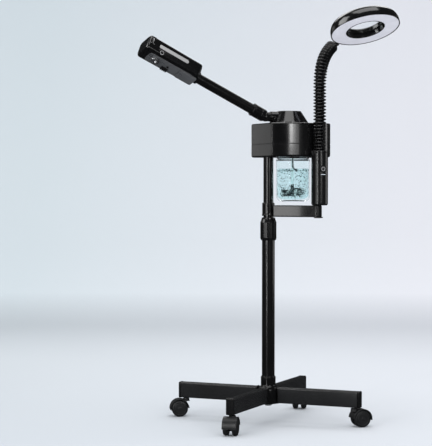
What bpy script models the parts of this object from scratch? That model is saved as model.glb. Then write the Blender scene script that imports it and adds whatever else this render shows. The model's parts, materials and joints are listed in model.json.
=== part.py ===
"""Facial steamer on a rolling stand, with a steam arm and a gooseneck ring lamp.

Metres, +Z up. The head's front faces -Y and its housing runs along +X. All the dimensions below
count from the column's axis at floor level. At the end the whole model is moved so that the origin
is the middle of its box, at floor level.
"""

from math import atan2, copysign, cos, degrees, hypot, pi, radians, sin, sqrt

import bmesh
import bpy
from mathutils import Matrix, Vector

GAP = 0.0004          # clearance between pieces that touch
ROUND = 24            # sides of a tube or a ring
WIDE_ROUND = 36       # sides of the widest round pieces
SMALL_ROUND = 16      # sides of a small round piece

# Base
LEG_ANGLES = {"right": -45, "front": -135, "left": 135, "back": 45}
CASTER_HEADINGS = {"right": -2, "front": -124, "left": 165, "back": 75}
LEG_REACH = 0.244     # leg tube's outer end from the column's axis
LEG_WIDTH = 0.020
LEG_HEIGHT = 0.040
LEG_BOTTOM = 0.048
LEG_WALL = 0.0016
CAP_LENGTH = 0.006
HUB_RADIUS = 0.027
HUB_SLEEVE_RADIUS = 0.0185
HUB_TOP = 0.114
SWIVEL_REACH = 0.227

# Casters
WHEEL_RADIUS = 0.021
WHEEL_WIDTH = 0.012
WHEEL_OFFSET = 0.0115
WHEEL_SIDES = 22      # a flat of the tread rests on the floor
AXLE_HEIGHT = WHEEL_RADIUS * cos(pi / WHEEL_SIDES)
TRAIL = 0.017
AXLE_RADIUS = 0.003
STEM_RADIUS = 0.0045
HOOD_RADIUS = 0.0245

# Column
LOWER_TUBE_RADIUS = 0.016
LOWER_TUBE_TOP = 0.460
UPPER_TUBE_RADIUS = 0.0125
UPPER_TUBE_BOTTOM = 0.130
TUBE_WALL = 0.0018
COLLAR_RADIUS = 0.0205
COLLAR_BOTTOM = 0.4545
COLLAR_TOP = 0.5115
COLLAR_FLUTES = 14
SLEEVE_BOTTOM = 0.5155
SLEEVE_TOP = 0.5480

# Housing
HOUSING_LEFT = -0.016
HOUSING_RIGHT = 0.152
HOUSING_BACK = 0.082
HOUSING_FRONT_CORNER = -0.056
FRONT_BULGE = 0.022
HOUSING_BOTTOM = 0.6615
HOUSING_SEAM = 0.6945
HOUSING_TOP = 0.7465
SHELL_WALL = 0.0025
DOME_X = 0.0555
DOME_BASE_RADIUS = 0.0485
DOME_TOP_RADIUS = 0.0305
DOME_TOP = 0.7775
OUTLET_Z = 0.7627
OUTLET_RADIUS = 0.0135
OUTLET_END = 0.0053

# Boiler jar
JAR_X = 0.067
JAR_RADIUS = 0.0425
JAR_NECK_RADIUS = 0.0370
JAR_TOP = HOUSING_BOTTOM + 0.0060
JAR_BOTTOM = 0.5510
GLASS = 0.003
RING_RADIUS = 0.0408
RING_DROP = 0.0032    # how far the jar's ring shows below the housing
SEAT_RADIUS = 0.0455
FLANGE_RADIUS = 0.0333
FLANGE_BOTTOM = JAR_TOP - 0.006
FLANGE_RIM_BOTTOM = JAR_TOP + 0.0015
COIL_RADIUS = 0.0240
COIL_WIRE = 0.0033
COIL_Z = 0.5660

# Arm, along its own axis from the elbow's centre
ELBOW = Vector((-0.0085, 0, OUTLET_Z))
ELBOW_RADIUS = 0.0122
ARM_TILT = 27.0
ARM_RADIUS = 0.0125
NUT_START = 0.0036
NUT_END = 0.0405
NUT_RADIUS = 0.0157
ARM_COLLAR_START = 0.2015
ARM_COLLAR_END = 0.2065
NOZZLE_START = 0.2070
NOZZLE_END = 0.3610
NOZZLE_LIFT = 0.006   # its middle lies this far above the arm axis
NOZZLE_ROLL = 22      # degrees about the arm that the underside is turned to the front
NOZZLE_REAR = (0.0275, 0.0203)     # half width and half height behind
NOZZLE_SWELL = (0.0020, 0.0007)    # and how much they grow towards the front
NOZZLE_EDGE = 0.006   # rounding of its two ends
NOZZLE_SQUARENESS = 0.36
NOZZLE_BASE_LOW = NOZZLE_START + 0.016
NOZZLE_BASE_HIGH = NOZZLE_END - 0.018
NOZZLE_BASE_WIDTH = 0.038
SPOUT_AT = NOZZLE_END - 0.040
SPOUT_RADIUS = 0.0115

# Lamp post, bracket and lamp
POST = Vector((0.096, -0.0965, 0))
POST_RADIUS = 0.0205
POST_BOTTOM = 0.5425
POST_TOP = 0.6720
POST_CAP_TOP = 0.678
BRACKET_BOTTOM = 0.5135
BRACKET_TOP = 0.5420
BRACKET_WIDTH = 0.034
BRACKET_START = 0.0166
BRACKET_REACH = hypot(POST.x, POST.y) + 0.001
BUTTON_Z = 0.632
BUTTON_RADIUS = 0.0070
NECK_RADIUS = 0.014
NECK_SPLIT = 0.810
NECK_STRAIGHT_TOP = 0.835
NECK_POINTS = 10
LAMP_CENTRE = Vector((0.1932, -0.150, 0.9748))
LAMP_FACE = Vector((0.054, -0.358, -0.932)).normalized()
LAMP_RADIUS = 0.086
LAMP_HOLE = 0.046
LAMP_DEPTH = 0.0275   # from its face to the crown of its back
LAMP_WALL = 0.0025
LAMP_SIDES = 40
LAMP_PIVOT = Vector((0.1580, -0.0600, 0.9465))


# ---------------------------------------------------------------- materials and collections

def material(name, colour, roughness, metallic=0.0, alpha=1.0):
    made = bpy.data.materials.new(name)
    made.use_nodes = True
    shader = made.node_tree.nodes["Principled BSDF"]
    shader.inputs["Base Color"].default_value = (*colour, 1)
    shader.inputs["Roughness"].default_value = roughness
    shader.inputs["Metallic"].default_value = metallic
    shader.inputs["Alpha"].default_value = alpha
    made.diffuse_color = (*colour, alpha)
    return made


def collection(name):
    made = bpy.data.collections.new(name)
    bpy.context.scene.collection.children.link(made)
    return made


def clear_scene():
    for obj in list(bpy.data.objects):
        bpy.data.objects.remove(obj, do_unlink=True)


# ---------------------------------------------------------------- building blocks

def add(name, data, finish, matrix=None):
    """An object in the steamer's collection, placed by its matrix."""
    obj = bpy.data.objects.new(name, data)
    if finish and not data.materials:
        data.materials.append(finish)
    PARTS.objects.link(obj)
    obj.matrix_world = matrix or Matrix.Identity(4)
    return obj


def as_cutter(obj):
    PARTS.objects.unlink(obj)
    CUTTERS.objects.link(obj)
    obj.hide_render = True
    obj.display_type = "WIRE"
    return obj


def baked(obj):
    """The object's finished mesh with its loose caps welded. The object itself is removed."""
    graph = bpy.context.evaluated_depsgraph_get()
    mesh = bpy.data.meshes.new_from_object(obj.evaluated_get(graph))
    shape = bmesh.new()
    shape.from_mesh(mesh)
    bmesh.ops.remove_doubles(shape, verts=shape.verts, dist=0.00001)
    shape.to_mesh(mesh)
    shape.free()
    matrix = obj.matrix_world.copy()
    name, finish = obj.name, obj.data.materials[0] if obj.data.materials else None
    bpy.data.objects.remove(obj, do_unlink=True)
    return name, mesh, finish, matrix


def solid(obj):
    """The same object as a plain mesh object, ready for a Boolean."""
    bpy.context.view_layer.update()
    return add(*baked(obj))


def boolean(obj, other, operation):
    modifier = obj.modifiers.new(operation.lower(), "BOOLEAN")
    modifier.operation = operation
    modifier.solver = "EXACT"
    modifier.object = as_cutter(other)
    return obj


def smooth(mesh):
    mesh.shade_smooth()
    mesh.set_sharp_from_angle(angle=radians(35))


def turned(name, profile, finish, matrix=None, steps=ROUND, closed=False):
    """A turned piece about its own Z. The profile runs down the outer side; closed makes a ring."""
    mesh = bpy.data.meshes.new(name)
    edges = [(i, i + 1) for i in range(len(profile) - 1)]
    if closed:
        edges.append((len(profile) - 1, 0))
    mesh.from_pydata([(radius, 0, height) for radius, height in profile], edges, [])
    obj = add(name, mesh, finish, matrix)
    screw = obj.modifiers.new("turn", "SCREW")
    screw.steps = screw.render_steps = steps
    screw.use_merge_vertices = True
    screw.merge_threshold = 0.00001
    return obj


def tube(name, outer, inner, low, high, finish, matrix=None, steps=ROUND):
    profile = [(outer, high), (outer, low), (inner, low), (inner, high)]
    return turned(name, profile, finish, matrix, steps, closed=True)


def rod(name, radius, low, high, finish, matrix=None, steps=SMALL_ROUND):
    mesh = bpy.data.meshes.new(name)
    shape = bmesh.new()
    middle = Matrix.Translation((0, 0, (low + high) / 2))
    bmesh.ops.create_cone(shape, cap_ends=True, segments=steps, radius1=radius, radius2=radius,
                          depth=high - low, matrix=middle)
    shape.to_mesh(mesh)
    shape.free()
    smooth(mesh)
    return add(name, mesh, finish, matrix)


def ball(name, radius, finish, matrix=None):
    mesh = bpy.data.meshes.new(name)
    shape = bmesh.new()
    bmesh.ops.create_uvsphere(shape, u_segments=SMALL_ROUND, v_segments=10, radius=radius)
    shape.to_mesh(mesh)
    shape.free()
    smooth(mesh)
    return add(name, mesh, finish, matrix)


def block(name, low, high, finish, matrix=None, bevel=0.0, segments=2):
    mesh = bpy.data.meshes.new(name)
    shape = bmesh.new()
    size = Vector(high) - Vector(low)
    middle = (Vector(high) + Vector(low)) / 2
    bmesh.ops.create_cube(shape, size=1, matrix=Matrix.Translation(middle) @ Matrix.Diagonal((*size, 1)))
    if bevel:
        bmesh.ops.bevel(shape, geom=shape.edges[:], offset=bevel, segments=segments, affect="EDGES",
                        profile=0.5)
    shape.to_mesh(mesh)
    shape.free()
    smooth(mesh)
    return add(name, mesh, finish, matrix)


def wire(name, points, radius, finish, matrix=None, resolution=2):
    """A round tube through the points, with flat ends."""
    curve = bpy.data.curves.new(name, "CURVE")
    curve.dimensions = "3D"
    curve.bevel_depth = radius
    curve.bevel_resolution = resolution
    curve.use_fill_caps = True
    spline = curve.splines.new("POLY")
    spline.points.add(len(points) - 1)
    for point, place in zip(spline.points, points):
        point.co = (*place, 1)
    return solid(add(name, curve, finish, matrix))


def plate(name, outlines, thickness, finish, matrix=None):
    """A flat piece in its own XY plane, centred on it; outlines after the first are holes."""
    curve = bpy.data.curves.new(name, "CURVE")
    curve.dimensions = "2D"
    curve.fill_mode = "BOTH"
    curve.extrude = thickness / 2
    for outline in outlines:
        spline = curve.splines.new("POLY")
        spline.points.add(len(outline) - 1)
        for point, (x, y) in zip(spline.points, outline):
            point.co = (x, y, 0, 1)
        spline.use_cyclic_u = True
    return solid(add(name, curve, finish, matrix))


def arc(centre, radius, start, end, points):
    """Points along an arc, its angles in degrees."""
    angles = [radians(start + (end - start) * i / (points - 1)) for i in range(points)]
    return [(centre[0] + radius * cos(t), centre[1] + radius * sin(t)) for t in angles]


def rounded_rectangle(width, height, radius, points=4):
    across, up = width / 2 - radius, height / 2 - radius
    return (arc((across, up), radius, 0, 90, points) + arc((-across, up), radius, 90, 180, points)
            + arc((-across, -up), radius, 180, 270, points) + arc((across, -up), radius, 270, 360, points))


def turn(degree, axis):
    return Matrix.Rotation(radians(degree), 4, axis)


def shift(x, y, z):
    return Matrix.Translation((x, y, z))


def aimed(place, direction):
    """A matrix at a place whose Z points along the direction and whose Y stays level."""
    return Matrix.Translation(place) @ direction.to_track_quat("Z", "Y").to_matrix().to_4x4()


# ---------------------------------------------------------------- base

def base_hub(paint):
    floor = LEG_BOTTOM + 0.004
    bore = LOWER_TUBE_RADIUS + GAP
    bolt = STEM_RADIUS + GAP
    profile = [(HUB_SLEEVE_RADIUS, HUB_TOP), (HUB_SLEEVE_RADIUS, 0.0905), (0.0215, 0.0885),
               (HUB_RADIUS - 0.0008, 0.082), (HUB_RADIUS, LEG_BOTTOM), (HUB_RADIUS - 0.002, LEG_BOTTOM - 0.002),
               (bolt, LEG_BOTTOM - 0.002), (bolt, floor), (bore, floor), (bore, HUB_TOP)]
    turned("base_hub", profile, paint, closed=True)


def hub_bolt(steel):
    head, shank = 0.009, STEM_RADIUS
    top, under = LEG_BOTTOM + 0.020, LEG_BOTTOM - 0.002 - GAP
    profile = [(0, top), (shank, top), (shank, under), (head, under), (head, under - 0.004),
               (head - 0.001, under - 0.005), (0, under - 0.005)]
    turned("hub_bolt", profile, steel, steps=SMALL_ROUND)


def leg_mesh(paint):
    """One leg: a rectangular tube along X from the hub to its cap, drilled for the caster's stem."""
    inner = HUB_RADIUS + 0.0005
    length = LEG_REACH - CAP_LENGTH - GAP - inner
    outline = rounded_rectangle(LEG_WIDTH, LEG_HEIGHT, 0.003)
    hollow = rounded_rectangle(LEG_WIDTH - 2 * LEG_WALL, LEG_HEIGHT - 2 * LEG_WALL, 0.0014)
    along = Matrix(((0, 0, 1, 0), (1, 0, 0, 0), (0, 1, 0, 0), (0, 0, 0, 1)))
    place = shift(inner + length / 2, 0, LEG_BOTTOM + LEG_HEIGHT / 2) @ along
    leg = plate("leg", [outline, hollow], length, paint, place)
    hole = rod("stem_hole", STEM_RADIUS + 0.0006, LEG_BOTTOM - 0.005, LEG_BOTTOM + 0.005, None,
               shift(SWIVEL_REACH, 0, 0))
    boolean(leg, hole, "DIFFERENCE")
    bpy.context.view_layer.update()
    _, mesh, _, matrix = baked(leg)
    mesh.transform(matrix)
    return mesh


def cap_mesh(plastic):
    """One leg's end cap: a rounded head and a plug that fits the tube."""
    head = block("cap", (LEG_REACH - CAP_LENGTH, -LEG_WIDTH / 2, LEG_BOTTOM),
                 (LEG_REACH, LEG_WIDTH / 2, LEG_BOTTOM + LEG_HEIGHT), plastic, bevel=0.0025, segments=3)
    inset = LEG_WALL + 2 * GAP
    plug = block("cap_plug", (LEG_REACH - CAP_LENGTH - 0.003, -LEG_WIDTH / 2 + inset, LEG_BOTTOM + inset),
                 (LEG_REACH - 0.003, LEG_WIDTH / 2 - inset, LEG_BOTTOM + LEG_HEIGHT - inset), plastic)
    boolean(head, plug, "UNION")
    bpy.context.view_layer.update()
    return baked(head)[1]


def legs(paint, plastic):
    leg, cap = leg_mesh(paint), cap_mesh(plastic)
    for side, angle in LEG_ANGLES.items():
        add("leg_" + side, leg, paint, turn(angle, "Z"))
        add("leg_cap_" + side, cap, plastic, turn(angle, "Z"))


# ---------------------------------------------------------------- casters

def fork_mesh(plastic):
    """The caster's hood and centre web, its stem on the local Z axis and its axle along Y."""
    across = turn(90, "X")
    axle_at = (TRAIL, AXLE_HEIGHT)
    web_half = WHEEL_OFFSET - WHEEL_WIDTH / 2 - 0.0006
    hood_in = WHEEL_RADIUS + 0.0012
    hood = arc(axle_at, HOOD_RADIUS, -5, 175, 13) + arc(axle_at, hood_in, 175, -5, 13)
    fork = plate("fork", [hood], 2 * (WHEEL_OFFSET + WHEEL_WIDTH / 2), plastic, across)
    web = arc(axle_at, HOOD_RADIUS - 0.001, -5, 175, 13) + arc(axle_at, 0.010, 215, 325, 4)
    boolean(fork, plate("fork_web", [web], 2 * web_half, plastic, across), "UNION")
    boolean(fork, rod("fork_boss", 0.0075, 0.0396, LEG_BOTTOM - 0.0006, plastic, steps=12), "UNION")
    boolean(fork, rod("fork_stem", STEM_RADIUS, 0.0412, LEG_BOTTOM + 0.014, plastic, steps=12), "UNION")
    hole = rod("axle_hole", AXLE_RADIUS + 0.0003, -0.03, 0.03, None,
               shift(TRAIL, 0, AXLE_HEIGHT) @ across, 12)
    boolean(fork, hole, "DIFFERENCE")
    bpy.context.view_layer.update()
    _, mesh, _, matrix = baked(fork)
    mesh.transform(matrix)
    return mesh


def wheel_mesh(plastic):
    half, bore = WHEEL_WIDTH / 2, AXLE_RADIUS + 0.0003
    profile = [(bore, half), (0.0165, half), (0.0202, half - 0.0018), (WHEEL_RADIUS, half - 0.0042),
               (WHEEL_RADIUS, 0.0012 - half), (0.0198, -half), (bore, -half)]
    wheel = turned("wheel", profile, plastic, steps=WHEEL_SIDES, closed=True)
    bpy.context.view_layer.update()
    return baked(wheel)[1]


def casters(plastic, steel):
    fork, wheel = fork_mesh(plastic), wheel_mesh(plastic)
    for side, angle in LEG_ANGLES.items():
        swivel = bpy.data.objects.new("caster_swivel_" + side, None)
        PARTS.objects.link(swivel)
        swivel.matrix_world = turn(angle, "Z") @ shift(SWIVEL_REACH, 0, 0) @ turn(CASTER_HEADINGS[side] - angle, "Z")
        bpy.context.view_layer.update()
        axle_place = swivel.matrix_world @ shift(TRAIL, 0, AXLE_HEIGHT)
        pieces = [add("caster_fork_" + side, fork, plastic, swivel.matrix_world.copy()),
                  rod("caster_axle_" + side, AXLE_RADIUS, -0.0165, 0.0165, steel,
                      axle_place @ turn(90, "X"), 12)]
        for name, quarter, offset in (("a", -90, WHEEL_OFFSET), ("b", 90, -WHEEL_OFFSET)):
            place = axle_place @ shift(0, offset, 0) @ turn(quarter, "X")
            pieces.append(add(f"wheel_{side}_{name}", wheel, plastic, place))
        for piece in pieces:
            place = piece.matrix_world.copy()
            piece.parent = swivel
            piece.matrix_parent_inverse = swivel.matrix_world.inverted()
            piece.matrix_world = place


# ---------------------------------------------------------------- column

def lower_tube(paint):
    tube("lower_tube", LOWER_TUBE_RADIUS, LOWER_TUBE_RADIUS - TUBE_WALL, LEG_BOTTOM + 0.0045,
         LOWER_TUBE_TOP, paint)


def glide_bush(nylon):
    """The bush pressed into the lower tube's mouth, which the upper tube slides and turns in."""
    lip = LOWER_TUBE_TOP + GAP
    outer, bore = LOWER_TUBE_RADIUS - TUBE_WALL - 0.0003, UPPER_TUBE_RADIUS + 0.0003
    profile = [(LOWER_TUBE_RADIUS - 0.0004, lip + 0.002), (LOWER_TUBE_RADIUS - 0.0004, lip), (outer, lip),
               (outer, lip - 0.030), (bore, lip - 0.030), (bore, lip + 0.002)]
    turned("glide_bush", profile, nylon, closed=True)


def lock_collar(plastic):
    """The fluted grip that clamps the upper tube, turned on the lower tube's thread."""
    wide, narrow = LOWER_TUBE_RADIUS + GAP, UPPER_TUBE_RADIUS + GAP
    step = LOWER_TUBE_TOP + 0.0032
    profile = [(0.0155, COLLAR_TOP), (0.0165, COLLAR_TOP - 0.001), (COLLAR_RADIUS, COLLAR_TOP - 0.012),
               (COLLAR_RADIUS, COLLAR_BOTTOM + 0.007), (0.0180, COLLAR_BOTTOM), (wide, COLLAR_BOTTOM),
               (wide, step), (narrow, step), (narrow, COLLAR_TOP)]
    collar = turned("lock_collar", profile, plastic, steps=2 * COLLAR_FLUTES, closed=True)
    groove = 0.0022
    rods = bmesh.new()
    for i in range(COLLAR_FLUTES):
        angle = 2 * pi * i / COLLAR_FLUTES
        reach = COLLAR_RADIUS + groove * 0.45
        place = shift(reach * cos(angle), reach * sin(angle), (COLLAR_BOTTOM + COLLAR_TOP) / 2)
        bmesh.ops.create_cone(rods, cap_ends=True, segments=6, radius1=groove, radius2=groove,
                              depth=0.034, matrix=place)
    mesh = bpy.data.meshes.new("flutes")
    rods.to_mesh(mesh)
    rods.free()
    boolean(collar, add("flutes", mesh, None), "DIFFERENCE")


def tube_foot(nylon):
    """The guide at the upper tube's lower end. It slides with the tube, which turns on its spigot."""
    outer = LOWER_TUBE_RADIUS - TUBE_WALL - 0.0004
    spigot = UPPER_TUBE_RADIUS - TUBE_WALL - 0.0005
    under = UPPER_TUBE_BOTTOM - GAP
    profile = [(0, under + 0.020), (spigot, under + 0.020), (spigot, under), (outer, under),
               (outer, under - 0.018), (0, under - 0.018)]
    turned("tube_foot", profile, nylon, steps=SMALL_ROUND)


def upper_tube(paint):
    tube("upper_tube", UPPER_TUBE_RADIUS, UPPER_TUBE_RADIUS - TUBE_WALL, UPPER_TUBE_BOTTOM,
         HOUSING_BOTTOM + 0.020, paint)


# ---------------------------------------------------------------- bracket, lamp post and button

def bracket_sleeve(paint):
    bore = UPPER_TUBE_RADIUS + GAP
    profile = [(0.0148, SLEEVE_TOP), (0.0155, SLEEVE_TOP - 0.001), (0.0155, SLEEVE_BOTTOM + 0.003),
               (0.0162, SLEEVE_BOTTOM), (bore, SLEEVE_BOTTOM), (bore, SLEEVE_TOP)]
    turned("bracket_sleeve", profile, paint, closed=True)


def bottom_bracket(paint):
    """The box arm from the sleeve to the foot of the lamp post."""
    outline = rounded_rectangle(BRACKET_REACH - BRACKET_START, BRACKET_WIDTH, 0.005)
    middle = shift((BRACKET_START + BRACKET_REACH) / 2, 0, (BRACKET_BOTTOM + BRACKET_TOP) / 2)
    place = turn(degrees(atan2(POST.y, POST.x)), "Z") @ middle
    plate("bottom_bracket", [outline], BRACKET_TOP - BRACKET_BOTTOM, paint, place)


def button_place():
    """On the front of the post, Z pointing out of it."""
    return shift(POST.x, POST.y - POST_RADIUS, BUTTON_Z) @ turn(90, "X")


def lamp_post(plastic):
    """The hollow post beside the jar, with a hole for the power button."""
    inner = POST_RADIUS - SHELL_WALL
    profile = [(POST_RADIUS, POST_TOP), (POST_RADIUS, POST_BOTTOM + 0.003), (POST_RADIUS - 0.003, POST_BOTTOM),
               (0.006, POST_BOTTOM), (0.006, POST_BOTTOM + SHELL_WALL), (inner, POST_BOTTOM + SHELL_WALL),
               (inner, POST_TOP)]
    post = turned("lamp_post", profile, plastic, shift(*POST), steps=WIDE_ROUND, closed=True)
    hole = rod("button_hole", BUTTON_RADIUS + GAP, -0.012, 0.012, None, button_place(), ROUND)
    boolean(post, hole, "DIFFERENCE")


def lamp_post_cap(plastic):
    low = POST_TOP + GAP
    profile = [(0.0150, POST_CAP_TOP), (POST_RADIUS - 0.001, POST_CAP_TOP - 0.0008),
               (POST_RADIUS, POST_CAP_TOP - 0.002), (POST_RADIUS, low), (0.006, low), (0.006, POST_CAP_TOP - 0.002)]
    turned("lamp_post_cap", profile, plastic, shift(*POST), steps=WIDE_ROUND, closed=True)


def power_button(plastic):
    profile = [(0, 0.0012), (BUTTON_RADIUS - 0.001, 0.0012), (BUTTON_RADIUS, 0.0004), (BUTTON_RADIUS, -0.008),
               (0, -0.008)]
    turned("power_button", profile, plastic, button_place(), steps=20)


# ---------------------------------------------------------------- housing

def housing_outline():
    """The housing from above, anticlockwise: flat left side, bowed front, round right end."""
    half = (HOUSING_RIGHT - HOUSING_LEFT) / 2
    bow = (half ** 2 + FRONT_BULGE ** 2) / (2 * FRONT_BULGE)
    middle = (HOUSING_LEFT + HOUSING_RIGHT) / 2
    centre = (middle, HOUSING_FRONT_CORNER - FRONT_BULGE + bow)
    sweep = degrees(atan2(half, centre[1] - HOUSING_FRONT_CORNER))
    corner, end = 0.006, 0.024
    front = arc(centre, bow, 270 - sweep + 3, 270 + sweep - 9, 12)
    back_left = arc((HOUSING_LEFT + 0.012, HOUSING_BACK - 0.012), 0.012, 90, 180, 4)
    front_left = arc((HOUSING_LEFT + corner, HOUSING_FRONT_CORNER + corner - 0.001), corner, 180, 235, 4)
    front_right = arc((HOUSING_RIGHT - end, HOUSING_FRONT_CORNER + end - 0.001), end, 302, 360, 5)
    back_right = arc((HOUSING_RIGHT - end, HOUSING_BACK - end), end, 0, 90, 6)
    return back_left + front_left + front + front_right + back_right


def housing_shell(name, closed_z, open_z, edge, finish):
    """An open shell with one closed face, its rim edge rounded and a wall added inside."""
    mesh = bpy.data.meshes.new(name)
    shape = bmesh.new()
    rim = [shape.verts.new((x, y, closed_z)) for x, y in housing_outline()]
    face = shape.faces.new(rim)
    wall = bmesh.ops.extrude_edge_only(shape, edges=list(face.edges))
    for vert in [item for item in wall["geom"] if isinstance(item, bmesh.types.BMVert)]:
        vert.co.z = open_z
    bmesh.ops.bevel(shape, geom=list(face.edges), offset=edge, segments=2, affect="EDGES", profile=0.5)
    bmesh.ops.recalc_face_normals(shape, faces=shape.faces[:])
    if sum(f.normal.z * f.calc_area() for f in shape.faces) * (closed_z - open_z) < 0:
        bmesh.ops.reverse_faces(shape, faces=shape.faces[:])
    shape.to_mesh(mesh)
    shape.free()
    smooth(mesh)
    obj = add(name, mesh, finish)
    wall = obj.modifiers.new("wall", "SOLIDIFY")
    wall.thickness = SHELL_WALL
    wall.offset = -1
    wall.use_even_offset = True
    return obj


def housing_lower(plastic):
    """The tub, with a raised seat round the boiler's mouth that the heater flange rests on."""
    lower = housing_shell("housing_lower", HOUSING_BOTTOM, HOUSING_SEAM - GAP / 2, 0.006, plastic)
    mouth = RING_RADIUS + GAP
    over_jar = shift(JAR_X, 0, 0)
    seat = tube("boiler_seat", SEAT_RADIUS, mouth - 0.001, HOUSING_BOTTOM + SHELL_WALL / 2,
                FLANGE_RIM_BOTTOM - GAP, plastic, over_jar, WIDE_ROUND)
    boolean(lower, seat, "UNION")
    low, high = HOUSING_BOTTOM - 0.01, HOUSING_BOTTOM + 0.01
    boolean(lower, rod("column_hole", UPPER_TUBE_RADIUS + GAP, low, high, None, steps=ROUND), "DIFFERENCE")
    boolean(lower, rod("boiler_hole", mouth, low, high, None, over_jar, WIDE_ROUND), "DIFFERENCE")


def housing_upper(plastic):
    upper = housing_shell("housing_upper", HOUSING_TOP, HOUSING_SEAM + GAP / 2, 0.004, plastic)
    low, high = HOUSING_TOP - 0.01, HOUSING_TOP + 0.01
    boolean(upper, rod("dome_hole", 0.030, low, high, None, shift(DOME_X, 0, 0), ROUND), "DIFFERENCE")


def top_dome(plastic):
    """The steam chamber's cover with its side outlet, hollow all the way through."""
    low = HOUSING_TOP + GAP
    outer = [(DOME_TOP_RADIUS - 0.002, DOME_TOP), (DOME_TOP_RADIUS, DOME_TOP - 0.0012),
             (DOME_BASE_RADIUS - 0.0008, low + 0.003), (DOME_BASE_RADIUS, low + 0.002), (DOME_BASE_RADIUS, low)]
    dome = turned("top_dome", [(0, DOME_TOP)] + outer + [(0, low)], plastic, shift(DOME_X, 0, 0), steps=WIDE_ROUND)
    along = turn(-90, "Y")
    pipe = rod("outlet_pipe", OUTLET_RADIUS, -DOME_X + 0.001, -OUTLET_END, plastic,
               shift(0, 0, OUTLET_Z) @ along, ROUND)
    boolean(dome, pipe, "UNION")
    inside = turned("dome_inside", [(0, DOME_TOP - SHELL_WALL), (DOME_TOP_RADIUS - 0.004, DOME_TOP - SHELL_WALL),
                                    (DOME_BASE_RADIUS - 0.006, low - 0.002), (0, low - 0.002)],
                    None, shift(DOME_X, 0, 0), steps=24)
    boolean(dome, inside, "DIFFERENCE")
    bore = rod("outlet_bore", OUTLET_RADIUS - SHELL_WALL, -DOME_X, 0.01, None, shift(0, 0, OUTLET_Z) @ along, 24)
    boolean(dome, bore, "DIFFERENCE")


def mains_inlet(plastic):
    """The mains socket on the back of the lower shell, with its three pins' recess."""
    left, right, low, high = 0.080, 0.110, HOUSING_BOTTOM + 0.007, HOUSING_SEAM - 0.003
    inlet = block("mains_inlet", (left, HOUSING_BACK + GAP, low), (right, HOUSING_BACK + 0.007, high), plastic,
                  bevel=0.0015)
    recess = block("inlet_recess", (left + 0.0035, HOUSING_BACK + 0.003, low + 0.0035),
                   (right - 0.0035, HOUSING_BACK + 0.02, high - 0.0035), None)
    boolean(inlet, recess, "DIFFERENCE")


def control_board(board):
    low = HOUSING_BOTTOM + SHELL_WALL + 0.003
    block("control_board", (0.075, 0.050, low), (0.128, 0.0516, low + 0.022), board)


def ozone_lamp(glass):
    low, high, radius = HOUSING_SEAM + 0.012, HOUSING_TOP, 0.005
    profile = [(0, high), (0.003, high - 0.0008), (radius, high - 0.003), (radius, low + 0.002), (0.003, low), (0, low)]
    turned("ozone_lamp", profile, glass, shift(DOME_X + 0.010, 0.012, 0), steps=16)


# ---------------------------------------------------------------- boiler

def jar(glass):
    wall, base = JAR_RADIUS - GLASS, 0.016
    shoulder = JAR_TOP - 0.0125
    outer = [(JAR_NECK_RADIUS, JAR_TOP), (JAR_NECK_RADIUS, shoulder), (JAR_NECK_RADIUS + 0.0025, shoulder - 0.004),
             (JAR_RADIUS, shoulder - 0.010)]
    outer += arc((JAR_RADIUS - base, JAR_BOTTOM + base), base, 0, -78, 5) + [(0, JAR_BOTTOM)]
    inner_floor = JAR_BOTTOM + GLASS + 0.0005
    inner = [(0, inner_floor)]
    inner += arc((wall - base, inner_floor + base), base, -84, 0, 5)
    inner += [(wall, shoulder - 0.011), (JAR_NECK_RADIUS - GLASS, shoulder - 0.002),
              (JAR_NECK_RADIUS - GLASS, JAR_TOP)]
    turned("jar", outer + inner + outer[:1], glass, shift(JAR_X, 0, 0), steps=WIDE_ROUND)


def jar_ring(plastic):
    """The bayonet ring round the jar's neck. All but its lowest edge is up inside the housing."""
    low, high = HOUSING_BOTTOM - RING_DROP, JAR_TOP + GAP
    bore = JAR_NECK_RADIUS + GAP
    profile = [(RING_RADIUS - 0.0005, high), (RING_RADIUS, high - 0.001), (RING_RADIUS, low + 0.001),
               (RING_RADIUS - 0.001, low), (bore, low), (bore, high)]
    turned("jar_ring", profile, plastic, shift(JAR_X, 0, 0), steps=WIDE_ROUND, closed=True)


def heater_flange(steel):
    """The stepped disc that closes the jar's neck and carries the heater and the probe."""
    high = FLANGE_RIM_BOTTOM + 0.0020
    profile = [(0, high), (SEAT_RADIUS, high), (SEAT_RADIUS, FLANGE_RIM_BOTTOM),
               (FLANGE_RADIUS, FLANGE_RIM_BOTTOM), (FLANGE_RADIUS, FLANGE_BOTTOM), (0, FLANGE_BOTTOM)]
    turned("heater_flange", profile, steel, shift(JAR_X, 0, 0))


def heater_coil(steel):
    """A wire ring of one and three quarter turns low in the jar, hung from the flange."""
    turns, per_turn, rise = 1.75, 16, 0.0095
    count = int(turns * per_turn)
    top = FLANGE_BOTTOM - GAP
    loop = []
    for i in range(count + 1):
        angle = radians(160) + 2 * pi * i / per_turn
        loop.append((COIL_RADIUS * cos(angle), COIL_RADIUS * sin(angle), COIL_Z + rise * i / per_turn))
    end = loop[-1]
    lead_out = [(end[0] * 0.86, end[1] * 0.86, end[2] + 0.010), (end[0] * 0.80, end[1] * 0.80, top)]
    wire("heater_coil", loop + lead_out, COIL_WIRE, steel, shift(JAR_X, 0, 0), 1)


def level_probe(steel):
    top = FLANGE_BOTTOM - GAP
    bend = [(0, 0, 0), (0, 0, -0.018), (0.001, -0.0005, -0.025), (0.004, -0.002, -0.030), (0.008, -0.003, -0.032)]
    points = [(x - 0.006, y - 0.012, top + z) for x, y, z in bend]
    wire("level_probe", points, 0.0022, steel, shift(JAR_X, 0, 0), 1)


# ---------------------------------------------------------------- steam arm

def arm_direction():
    return Vector((-cos(radians(ARM_TILT)), 0, sin(radians(ARM_TILT))))


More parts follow.
